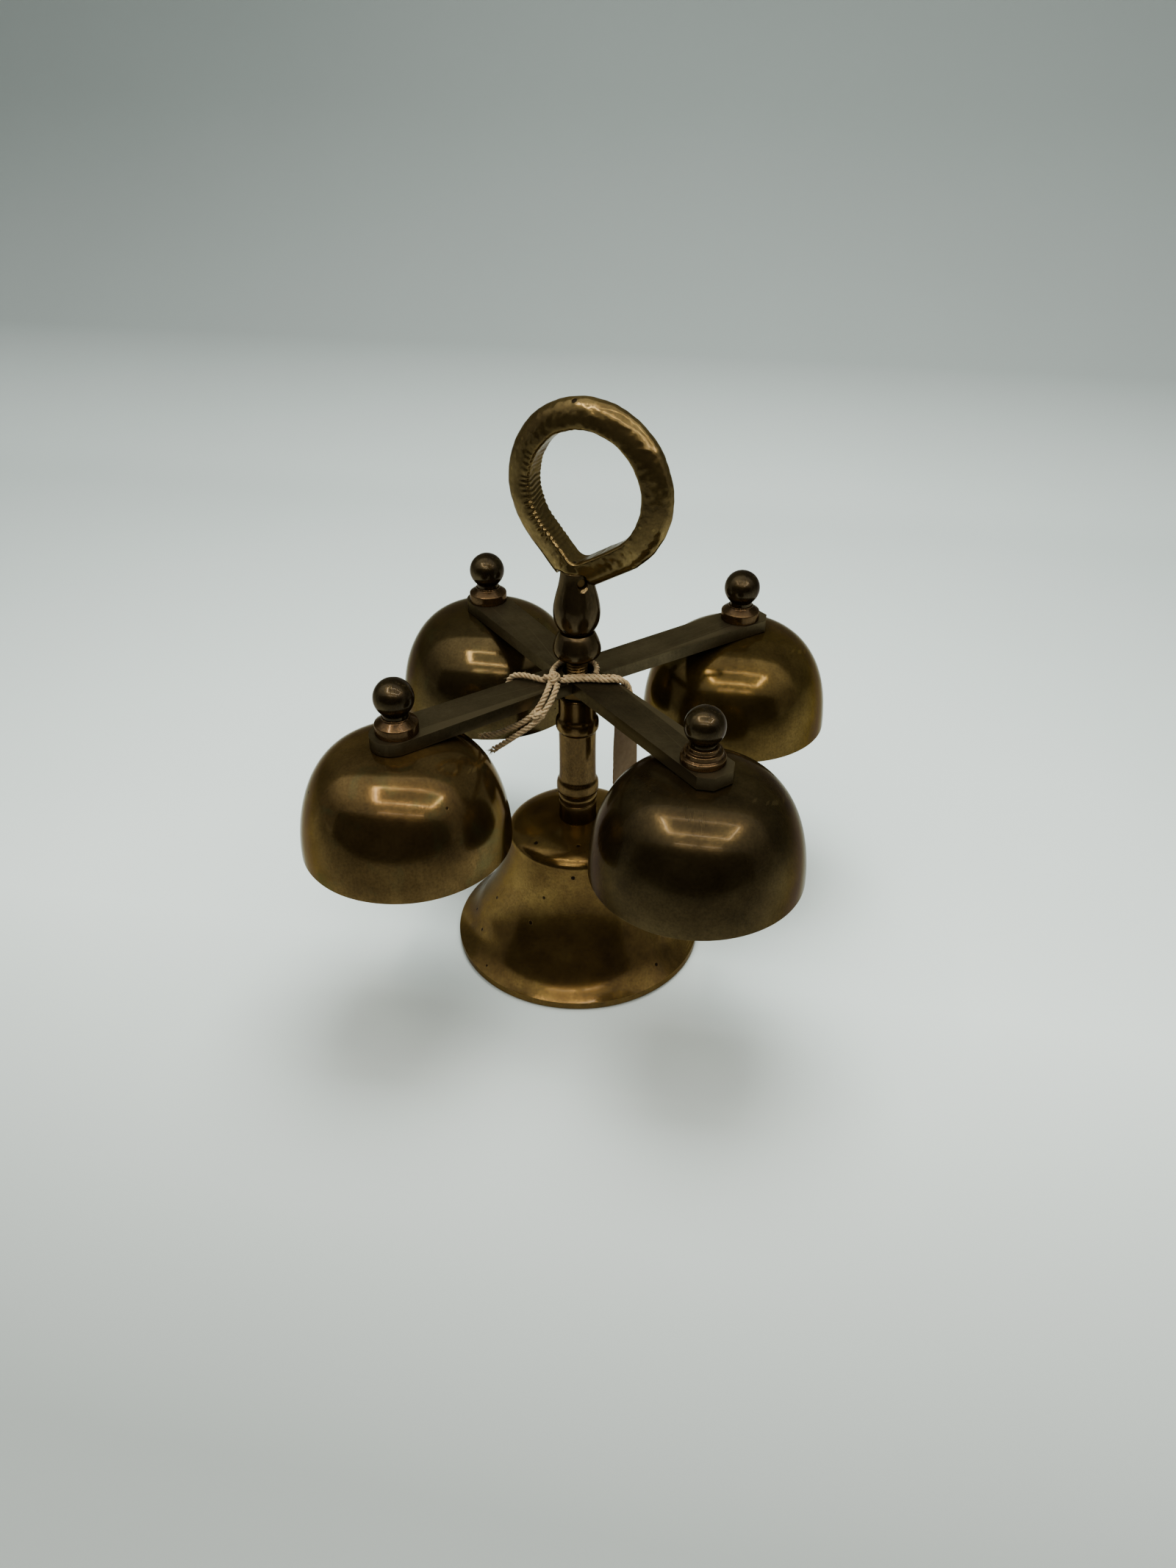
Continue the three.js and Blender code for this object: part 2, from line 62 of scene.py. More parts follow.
def make_camera():
    camera = bpy.data.objects.new("camera", bpy.data.cameras.new("camera"))
    scene.collection.objects.link(camera)
    scene.camera = camera
    camera.data.lens = CAMERA_LENS
    camera.data.sensor_fit = "AUTO"
    camera.data.sensor_width = 36
    camera.data.clip_start = 0.01
    forward = (CAMERA_TO - CAMERA_AT).normalized()
    right = forward.cross(Vector((0, 0, 1))).normalized()
    forward = forward * math.cos(CAMERA_YAW) + right * math.sin(CAMERA_YAW)
    camera.location = CAMERA_AT
    camera.rotation_euler = forward.to_track_quat("-Z", "Y").to_euler()


make_camera()


# ---------------------------------------------------------------- mesh helpers (millimetres in, metres out)
def mesh_object(name, vertices, faces, at=(0, 0, 0), smooth_angle=0.6):
    """A new object from millimetre vertices, standing at a millimetre point, smooth but for its sharp edges."""
    mesh = bpy.data.meshes.new(name)
    mesh.from_pydata([Vector(v) * MM for v in vertices], [], faces)
    obj = bpy.data.objects.new(name, mesh)
    scene.collection.objects.link(obj)
    obj.location = Vector(at) * MM
    shade(obj, smooth_angle)
    return obj


def shade(obj, smooth_angle=0.6):
    """Merges doubled points, turns the faces outwards and marks the edges sharper than an angle."""
    work = bmesh.new()
    work.from_mesh(obj.data)
    bmesh.ops.remove_doubles(work, verts=work.verts, dist=1e-7)
    bmesh.ops.recalc_face_normals(work, faces=work.faces)
    for face in work.faces:
        face.smooth = True
    for edge in work.edges:
        edge.smooth = not edge.is_manifold or edge.calc_face_angle(0) < smooth_angle
    work.to_mesh(obj.data)
    work.free()


def apply_modifiers(obj):
    bpy.context.view_layer.update()
    evaluated = obj.evaluated_get(bpy.context.evaluated_depsgraph_get())
    done = bpy.data.meshes.new_from_object(evaluated)
    obj.modifiers.clear()
    obj.data = done


def cut(obj, tool, operation="DIFFERENCE"):
    """obj less (or joined with) tool, which is used up."""
    modifier = obj.modifiers.new("cut", "BOOLEAN")
    modifier.operation = operation
    modifier.solver = "EXACT"
    modifier.object = tool
    apply_modifiers(obj)
    bpy.data.objects.remove(tool)


def join(name, objs, at=None):
    """One object from several, with its origin at a millimetre point."""
    work = bmesh.new()
    for o in objs:
        bpy.context.view_layer.update()
        o.data.transform(o.matrix_world)
        work.from_mesh(o.data)
        bpy.data.objects.remove(o)
    mesh = bpy.data.meshes.new(name)
    work.to_mesh(mesh)
    work.free()
    obj = bpy.data.objects.new(name, mesh)
    scene.collection.objects.link(obj)
    if at is not None:
        mesh.transform(Matrix.Translation(-Vector(at) * MM))
        obj.location = Vector(at) * MM
    return obj


def catmull(points, per_span=6, closed=False):
    """Points on the centripetal Catmull-Rom curve through points, as three.js draws it."""
    pts = [Vector(p) for p in points]
    n = len(pts)
    out = []
    spans = n if closed else n - 1
    for i in range(spans):
        p1 = pts[i]
        p2 = pts[(i + 1) % n]
        p0 = pts[i - 1] if closed or i > 0 else p1 * 2 - p2
        p3 = pts[(i + 2) % n] if closed or i + 2 < n else p2 * 2 - p1
        d0 = (p1 - p0).length ** 0.5
        d1 = (p2 - p1).length ** 0.5
        d2 = (p3 - p2).length ** 0.5
        t1 = ((p1 - p0) / d0 - (p2 - p0) / (d0 + d1) + (p2 - p1) / d1) * d1
        t2 = ((p2 - p1) / d1 - (p3 - p1) / (d1 + d2) + (p3 - p2) / d2) * d1
        for k in range(per_span):
            t = k / per_span
            out.append(
                p1 * (2 * t**3 - 3 * t**2 + 1) + t1 * (t**3 - 2 * t**2 + t)
                + p2 * (3 * t**2 - 2 * t**3) + t2 * (t**3 - t**2)
            )
    if not closed:
        out.append(pts[-1])
    return out


def refined(outline, radius=0.35, corner=0.75):
    """A closed [radius, height] outline with its gentle bends smoothed and its corners rounded."""
    pts = [Vector((r, z)) for r, z in outline]
    n = len(pts)
    sharp = []
    for i in range(n):
        a = pts[i] - pts[i - 1]
        b = pts[(i + 1) % n] - pts[i]
        on_axis = pts[i].x == 0
        sharp.append(on_axis or a.length == 0 or b.length == 0 or a.angle(b) > corner)
    first = sharp.index(True)
    order = [(first + i) % n for i in range(n + 1)]
    fine = []
    run = [order[0]]
    for i in order[1:]:
        run.append(i)
        if sharp[i]:
            piece = [pts[j] for j in run]
            smooth = catmull([(p.x, p.y, 0) for p in piece], 6) if len(run) > 2 else None
            flat = [Vector((p.x, p.y)) for p in smooth] if smooth else piece
            fine.append(flat)
            run = [i]
    out = []
    for k, piece in enumerate(fine):
        here = piece[0]
        before = fine[k - 1][-2]
        after = piece[1]
        if here.x == 0:
            out.append(here)
        else:
            back = min(radius, (before - here).length * 0.45)
            on = min(radius, (after - here).length * 0.45)
            p = here + (before - here).normalized() * back
            q = here + (after - here).normalized() * on
            for s in range(5):
                t = s / 4
                out.append(p * (1 - t) ** 2 + here * (2 * t * (1 - t)) + q * t**2)
        out.extend(piece[1:-1])
    return [(max(p.x, 0), p.y) for p in out]


def lathe(name, outline, at=(0, 0), segments=144, radius=0.35, corner=0.75, wobble=0):
    """A turned piece from a closed outline, on the vertical line at a millimetre point.
    wobble is how far the surface wanders from true, in millimetres."""
    profile = refined(outline, radius, corner)
    vertices = []
    rows = []
    for r, z in profile:
        if r < 1e-6:
            rows.append([len(vertices)] * segments)
            vertices.append((0, 0, z))
            continue
        rows.append([len(vertices) + j for j in range(segments)])
        for j in range(segments):
            a = 2 * math.pi * j / segments
            off = 0
            if wobble:
                off = wobble * noise.noise(Vector((math.cos(a) * 1.3 + at[0], math.sin(a) * 1.3, z * 0.05)))
            vertices.append(((r + off) * math.cos(a), (r + off) * math.sin(a), z))
    faces = []
    for k, row in enumerate(rows):
        upper = rows[(k + 1) % len(rows)]
        if row[0] == row[1] and upper[0] == upper[1]:
            continue
        for j in range(segments):
            i = (j + 1) % segments
            corners = [row[j], row[i], upper[i], upper[j]]
            face = [v for m, v in enumerate(corners) if v not in corners[:m]]
            if len(face) > 2:
                faces.append(face)
    return mesh_object(name, vertices, faces, (AXIS[0] + at[0], AXIS[1] + at[1], 0))


def with_bore(outline, bore):
    return [(bore, outline[0][1]), *outline, (bore, outline[-1][1])]


def hex_nut(name, corner_r, bore, low, high, at=(0, 0)):
    """A hexagon nut with turned chamfers on its corners and a chamfered bore."""
    steps = 96
    chamfer = 0.12 * corner_r
    flat = corner_r * math.cos(math.pi / 6)
    rings = [
        (bore, low + 0.4, False), (bore + 0.4, low, False), (flat - 0.15, low, True),
        (corner_r, low + chamfer * 0.6, True), (corner_r, high - chamfer * 0.6, True),
        (flat - 0.15, high, True), (bore + 0.4, high, False), (bore, high - 0.4, False),
    ]
    vertices = []
    for r, z, hexed in rings:
        for j in range(steps):
            a = 2 * math.pi * j / steps
            side = (a % (math.pi / 3)) - math.pi / 6
            reach = min(r, flat / math.cos(side)) if hexed else r
            vertices.append((reach * math.cos(a), reach * math.sin(a), z))
    faces = []
    for k in range(len(rings)):
        for j in range(steps):
            i = (j + 1) % steps
            m = (k + 1) % len(rings)
            faces.append((k * steps + j, k * steps + i, m * steps + i, m * steps + j))
    return mesh_object(name, vertices, faces, (AXIS[0] + at[0], AXIS[1] + at[1], 0), 0.35)


def hoop(major, section, along_x, centre_z, steps=48, at=(0, 0)):
    """A closed ring of a section [(out, across)], standing upright with its axis on X or on Y."""
    vertices = []
    for j in range(steps):
        a = 2 * math.pi * j / steps
        for out, across in section:
            r = major + out
            u = r * math.cos(a)
            w = centre_z + r * math.sin(a)
            vertices.append((across, u, w) if along_x else (u, across, w))
    m = len(section)
    faces = []
    for j in range(steps):
        i = (j + 1) % steps
        for k in range(m):
            l = (k + 1) % m
            faces.append((j * m + k, j * m + l, i * m + l, i * m + k))
    return mesh_object("hoop", vertices, faces, (AXIS[0] + at[0], AXIS[1] + at[1], 0), 1.2)


def oval(half_out, half_across, steps=16, power=1.0):
    """A rounded section, squarer as power falls."""
    points = []
    for k in range(steps):
        a = 2 * math.pi * k / steps
        c = math.copysign(abs(math.cos(a)) ** power, math.cos(a))
        s = math.copysign(abs(math.sin(a)) ** power, math.sin(a))
        points.append((half_out * c, half_across * s))
    return points


def settle(obj, material, body, slot, *nodes):
    """Dresses a piece, and lets it ride on a body in place of CAD nodes."""
    obj.data.materials.clear()
    obj.data.materials.append(material)
    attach(obj, body)
    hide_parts(*nodes)
    return obj


# ---------------------------------------------------------------- twine
# Centre lines in metres from the column's axis, as the CAD part has them.
TWINE_LOOP = [
    (-0.0032, -0.0096, 0.1061), (0, -0.0085, 0.1061), (0.0033, -0.00755, 0.1061),
    (0.0067, -0.007, 0.1061), (0.0104, -0.00665, 0.1061), (0.0138, -0.0061, 0.1062),
    (0.0164, -0.0054, 0.1051), (0.0176, -0.0052, 0.1025), (0.0178, -0.0056, 0.1006),
    (0.0183, -0.00635, 0.0986), (0.0191, -0.00708, 0.096), (0.0185, -0.0065, 0.0934),
    (0.01661, -0.00462, 0.0922), (0.01475, -0.00275, 0.0934), (0.0141, -0.00215, 0.096),
    (0.0149, -0.0029, 0.0986), (0.0155, -0.0036, 0.1006), (0.016, -0.0037, 0.1025),
    (0.0149, -0.00395, 0.1051), (0.0124, -0.0046, 0.1062), (0.0099, -0.00495, 0.1061),
    (0.0067, -0.00525, 0.1061), (0.0034, -0.0058, 0.1061), (0.0003, -0.00675, 0.1061),
    (-0.0026, -0.00775, 0.1061),
]
TWINE_TURN = [
    (-0.0066, -0.0074, 0.1061), (-0.0069, -0.0044, 0.1061), (-0.0066, -0.001, 0.1061),
    (-0.0054, 0.0022, 0.1061), (-0.0032, 0.0046, 0.1061), (-0.0002, 0.0056, 0.1061),
    (0.0029, 0.0049, 0.1061), (0.0051, 0.0028, 0.1061), (0.0063, 0, 0.1061), (0.0066, -0.0031, 0.1061),
]
TWINE_END = [
    (-0.0084, -0.0104, 0.1061), (-0.0107, -0.0099, 0.1063), (-0.0133, -0.0094, 0.1064),
    (-0.0161, -0.009, 0.1063), (-0.0188, -0.0085, 0.1052), (-0.0202, -0.0083, 0.1027),
    (-0.0204, -0.0083, 0.0999), (-0.0203, -0.0084, 0.0971),
]
TWINE_TAIL_LONG = [
    (-0.0059, -0.0126, 0.1061), (-0.00575, -0.0143, 0.1061), (-0.0059, -0.016, 0.1057),
    (-0.0063, -0.0175, 0.1046), (-0.007, -0.0188, 0.1032), (-0.0078, -0.0199, 0.1018),
    (-0.0089, -0.0209, 0.1004), (-0.0104, -0.0216, 0.099), (-0.0123, -0.0219, 0.0974),
    (-0.0144, -0.0218, 0.0959), (-0.0166, -0.0215, 0.0944), (-0.0189, -0.0212, 0.0929),
    (-0.0211, -0.0209, 0.0917), (-0.0233, -0.0207, 0.0908), (-0.0254, -0.0206, 0.0902),
]
TWINE_TAIL_SHORT = [
    (-0.0036, -0.0122, 0.1061), (-0.0034, -0.0139, 0.1061), (-0.0035, -0.0156, 0.1056),
    (-0.0039, -0.0171, 0.1045), (-0.0046, -0.0185, 0.103), (-0.0055, -0.0199, 0.1015),
    (-0.0066, -0.0213, 0.0999), (-0.008, -0.0224, 0.0984), (-0.0099, -0.0231, 0.0968),
    (-0.0119, -0.0234, 0.0952), (-0.014, -0.0235, 0.0935), (-0.0162, -0.0233, 0.0916),
    (-0.0183, -0.0229, 0.0897), (-0.0204, -0.0225, 0.0879), (-0.0224, -0.0221, 0.0862),
]
TWINE_Z = 0.1061
KNOT = (-0.0057, -0.0101, TWINE_Z + 0.0008)
TAIL_KNOT = (-0.0077, -0.0211, 0.1002)
# The turn round the rod passes under the knot and goes on as the end.
TURN_AND_END = TWINE_TURN[::-1] + [(-0.0072, -0.0092, TWINE_Z + 0.0003)] + TWINE_END


def route(points):
    return [(Vector(p) + Vector((AXIS_X, AXIS_Y, 0))) / MM for p in points]


def carried_frames(line, closed=False):
    """A tangent and two normals at each point, turned as little as can be along the line."""
    n = len(line)
    tangents = []
    for i in range(n):
        a = line[(i - 1) % n] if closed or i > 0 else line[i]
        b = line[(i + 1) % n] if closed or i + 1 < n else line[i]
        tangents.append((b - a).normalized())
    up = tangents[0].orthogonal().normalized()
    frames = []
    for t in tangents:
        up = (up - t * up.dot(t)).normalized()
        frames.append((t, up, t.cross(up)))
    return frames


def strand(vertices, faces, line, radii, sides=8, closed=False):
    """Adds a tube along a line to the lists."""
    start = len(vertices)
    frames = carried_frames(line, closed)
    for point, (_, u, v), r in zip(line, frames, radii):
        for k in range(sides):
            a = 2 * math.pi * k / sides
            vertices.append(point + (u * math.cos(a) + v * math.sin(a)) * r)
    n = len(line)
    for i in range(n if closed else n - 1):
        for k in range(sides):
            a = start + i * sides + k
            b = start + i * sides + (k + 1) % sides
            m = (i + 1) % n
            faces.append((a, b, start + m * sides + (k + 1) % sides, start + m * sides + k))
    if not closed:
        faces.append([start + k for k in range(sides)][::-1])
        faces.append([start + (n - 1) * sides + k for k in range(sides)])


PLIES = 3
PLY_R = 0.45  # mm
PLY_OUT = 0.5
LAY_PITCH = 4.6
FRAY = 2.2


def evenly(line, step):
    """The line cut at an even spacing."""
    out = [line[0]]
    left = step
    for a, b in zip(line, line[1:]):
        length = (b - a).length
        gone = 0
        while length - gone >= left:
            gone += left
            out.append(a.lerp(b, gone / length))
            left = step
        left -= length - gone
    out.append(line[-1])
    return out


def twine_mesh(name, line, fray_start=False, fray_end=False, fibres=4, closed=False):
    """Twine of three twisted plies along a line, with stray fibres and opened ends. Millimetres."""
    line = evenly(line, 0.22)
    frames = carried_frames(line, closed)
    lengths = [0]
    for a, b in zip(line, line[1:]):
        lengths.append(lengths[-1] + (b - a).length)
    total = lengths[-1]
    vertices = []
    faces = []
    turns = max(1, round(total / LAY_PITCH))
    for ply in range(PLIES):
        path = []
        radii = []
        for s, p, (_, u, v) in zip(lengths, line, frames):
            a = 2 * math.pi * (ply / PLIES + turns * s / total)
            loose = 0
            if fray_end:
                loose = max(loose, 1 - (total - s) / FRAY)
            if fray_start:
                loose = max(loose, 1 - s / FRAY)
            wander = 0.05 * noise.noise(Vector((s * 0.9, ply * 7.0, len(line) * 0.1)))
            out = PLY_OUT * (1 + 0.9 * loose) + wander
            path.append(p + (u * math.cos(a) + v * math.sin(a)) * out)
            radii.append(PLY_R * (1 - 0.45 * loose) + 0.04 * noise.noise(Vector((s * 2.2, ply, 3.0))))
        strand(vertices, faces, path, radii, 10, closed)
    for _ in range(int(total * fibres)):
        i = rng.randrange(len(line))
        t, u, v = frames[i]
        a = rng.uniform(0, 2 * math.pi)
        outward = u * math.cos(a) + v * math.sin(a)
        start = line[i] + outward * 0.72
        swing = t * rng.uniform(-1, 1) + outward * rng.uniform(0.15, 0.9)
        bend = v * math.cos(a) - u * math.sin(a)
        reach = rng.uniform(0.3, 1.2)
        curl = rng.uniform(-0.8, 0.8)
        hair = [start + swing * reach * q + bend * (curl * q * q * reach) for q in (0, 0.3, 0.65, 1)]
        strand(vertices, faces, hair, [0.035, 0.03, 0.025, 0.012], 3)
    ends = []
    if fray_start:
        ends.append((0, -1))
    if fray_end:
        ends.append((len(line) - 1, 1))
    for i, sign in ends:
        t, u, v = frames[i]
        for _ in range(46):
            a = rng.uniform(0, 2 * math.pi)
            out = rng.uniform(0, 0.75)
            outward = u * math.cos(a) + v * math.sin(a)
            start = line[i] + outward * out - t * sign * 0.3
            reach = rng.uniform(0.8, 2.1)
            flare = rng.uniform(0.1, 0.55)
            hair = [start + t * (sign * reach * q) + outward * (flare * q * q * reach) for q in (0, 0.35, 0.7, 1)]
            strand(vertices, faces, hair, [0.07, 0.06, 0.045, 0.02], 4)
    return mesh_object(name, vertices, faces, smooth_angle=1.3)


def knot_line(centre, size, squash, turn):
    """A trefoil, the shape of a drawn-up overhand knot."""
    points = []
    for i in range(96):
        t = 2 * math.pi * i / 96
        p = Vector((
            math.sin(t) + 2 * math.sin(2 * t), math.cos(t) - 2 * math.cos(2 * t), -1.2 * math.sin(3 * t)
        ))
        p = Matrix.Rotation(turn, 3, "Z") @ p
        p.z *= squash
        points.append(p * size + Vector(centre))
    points.append(points[0])
    return points


def fibre_material(name, pale, dark, seed, sheen=0.1):
    material, nodes, links, out = new_material(name)
    place = coordinates(nodes, links, (1, 1, 1), seed)
    cloud = noise_at(nodes, links, place, 500, 4, 0.6)
    grain = noise_at(nodes, links, place, 5200, 3, 0.7)
    colour = ramp(nodes, links, mix_value(nodes, links, cloud, grain, 0.45), [(0.3, dark), (0.66, pale)])
    shader = nodes.new("ShaderNodeBsdfPrincipled")
    links.new(colour, shader.inputs["Base Color"])
    shader.inputs["Roughness"].default_value = 0.92
    shader.inputs["Sheen Weight"].default_value = sheen
    shader.inputs["Sheen Roughness"].default_value = 0.5
    shader.inputs["Subsurface Weight"].default_value = 0.08
    shader.inputs["Subsurface Scale"].default_value = 0.001
    bump(nodes, links, grain, shader, 0.5, 0.00006)
    links.new(shader.outputs[0], out.inputs[0])
    return material


def make_twine(material, tag):
    knot = join("twine_knot_tied", [
        twine_mesh("knot", knot_line(Vector(KNOT) / MM + Vector((AXIS[0], AXIS[1], 0)), 0.72, 0.75, 0.5), fibres=5)
    ])
    settle(knot, material, "cross", "twine", "twine_knot")
    small = twine_mesh("twine_tail_knot", knot_line(
        Vector(TAIL_KNOT) / MM + Vector((AXIS[0], AXIS[1], 0)), 0.5, 0.8, 1.9), fibres=6)
    settle(small, material, "cross", "twine")
    cords = (
        ("twine_loop_laid", TWINE_LOOP, "knot", "loose", [tag, knot], ["twine_loop"], False),
        ("twine_turn_laid", TURN_AND_END, "bare", "loose", [], ["twine_turn", "twine_end"], True),
        ("twine_tail_long_laid", TWINE_TAIL_LONG, "bare", "hanging", [small], ["twine_tail_long"], True),
        ("twine_tail_short_laid", TWINE_TAIL_SHORT, "bare", "hanging", [], ["twine_tail_short"], True),
    )
    for name, points, far_end, lay, pieces, nodes, frayed in cords:
        line = catmull(route(points), 8)
        cord = twine_mesh(name, line, fray_end=frayed)
        settle(cord, material, "cross", "twine", *nodes)


# ---------------------------------------------------------------- materials
def new_material(name):
    material = bpy.data.materials.new(name)
    material.use_nodes = True
    nodes = material.node_tree.nodes
    nodes.clear()
    return material, nodes, material.node_tree.links, nodes.new("ShaderNodeOutputMaterial")


def coordinates(nodes, links, scale, seed):
    source = nodes.new("ShaderNodeTexCoord")
    mapping = nodes.new("ShaderNodeMapping")
    mapping.inputs["Scale"].default_value = scale
    mapping.inputs["Location"].default_value = (seed * 0.137, seed * 0.071, seed * 0.043)
    links.new(source.outputs["Object"], mapping.inputs["Vector"])
    return mapping.outputs[0]


def noise_at(nodes, links, place, scale, detail, rough=0.55, distortion=0.0):
    node = nodes.new("ShaderNodeTexNoise")
    node.inputs["Scale"].default_value = scale
    node.inputs["Detail"].default_value = detail
    node.inputs["Roughness"].default_value = rough
    node.inputs["Distortion"].default_value = distortion
    links.new(place, node.inputs["Vector"])
    return node.outputs["Fac"]


def ramp(nodes, links, value, stops):
    """A colour (or a grey, from single numbers) for a value, between stops of (position, colour)."""
    node = nodes.new("ShaderNodeValToRGB")
    elements = node.color_ramp.elements
    while len(elements) < len(stops):
        elements.new(0.5)
    for element, (position, colour) in zip(elements, stops):
        element.position = position
        element.color = (colour,) * 3 + (1,) if isinstance(colour, (int, float)) else (*colour, 1)
    links.new(value, node.inputs["Fac"])
    return node.outputs["Color"]


def mix_colour(nodes, links, fac, a, b, blend="MIX"):
    node = nodes.new("ShaderNodeMix")
    node.data_type = "RGBA"
    node.blend_type = blend
    for value, socket in ((fac, node.inputs[0]), (a, node.inputs[6]), (b, node.inputs[7])):
        if isinstance(value, (int, float)):
            socket.default_value = value
        elif isinstance(value, tuple):
            socket.default_value = (*value, 1)
        else:
            links.new(value, socket)
    return node.outputs[2]


def mix_value(nodes, links, a, b, fac):
    node = nodes.new("ShaderNodeMix")
    node.inputs[0].default_value = fac
    links.new(a, node.inputs[2])
    links.new(b, node.inputs[3])
    return node.outputs[0]


def arithmetic(nodes, links, operation, a, b=0.0, c=0.0):
    node = nodes.new("ShaderNodeMath")
    node.operation = operation
    for value, socket in zip((a, b, c), node.inputs):
        if isinstance(value, (int, float)):
            socket.default_value = value
        else:
            links.new(value, socket)
    return node.outputs[0]


def bump(nodes, links, height, shader, strength, distance, under=None):
    node = nodes.new("ShaderNodeBump")
    node.inputs["Strength"].default_value = strength
    node.inputs["Distance"].default_value = distance
    links.new(height, node.inputs["Height"])
    if under is not None:
        links.new(under, node.inputs["Normal"])
    links.new(node.outputs[0], shader.inputs["Normal"])
    return node.outputs[0]


def round_coordinates(nodes, links, seed, around, along):
    """Coordinates that run round the piece's own axis and along its height, for turning and brush marks."""
    source = nodes.new("ShaderNodeTexCoord").outputs["Object"]
    split = nodes.new("ShaderNodeSeparateXYZ")
    links.new(source, split.inputs[0])
    flat = nodes.new("ShaderNodeCombineXYZ")
    links.new(split.outputs[0], flat.inputs[0])
    links.new(split.outputs[1], flat.inputs[1])
    unit = nodes.new("ShaderNodeVectorMath")
    unit.operation = "NORMALIZE"
    links.new(flat.outputs[0], unit.inputs[0])
    length = nodes.new("ShaderNodeVectorMath")
    length.operation = "LENGTH"
    links.new(flat.outputs[0], length.inputs[0])
    round_it = nodes.new("ShaderNodeVectorMath")
    round_it.operation = "SCALE"
    links.new(unit.outputs[0], round_it.inputs[0])
    round_it.inputs["Scale"].default_value = around
    run = arithmetic(nodes, links, "SUBTRACT", split.outputs[2], length.outputs["Value"])
    run = arithmetic(nodes, links, "MULTIPLY_ADD", run, along, seed * 3.7)
    lift = nodes.new("ShaderNodeCombineXYZ")
    links.new(run, lift.inputs[2])
    total = nodes.new("ShaderNodeVectorMath")
    total.operation = "ADD"
    links.new(round_it.outputs[0], total.inputs[0])
    links.new(lift.outputs[0], total.inputs[1])
    return total.outputs[0]


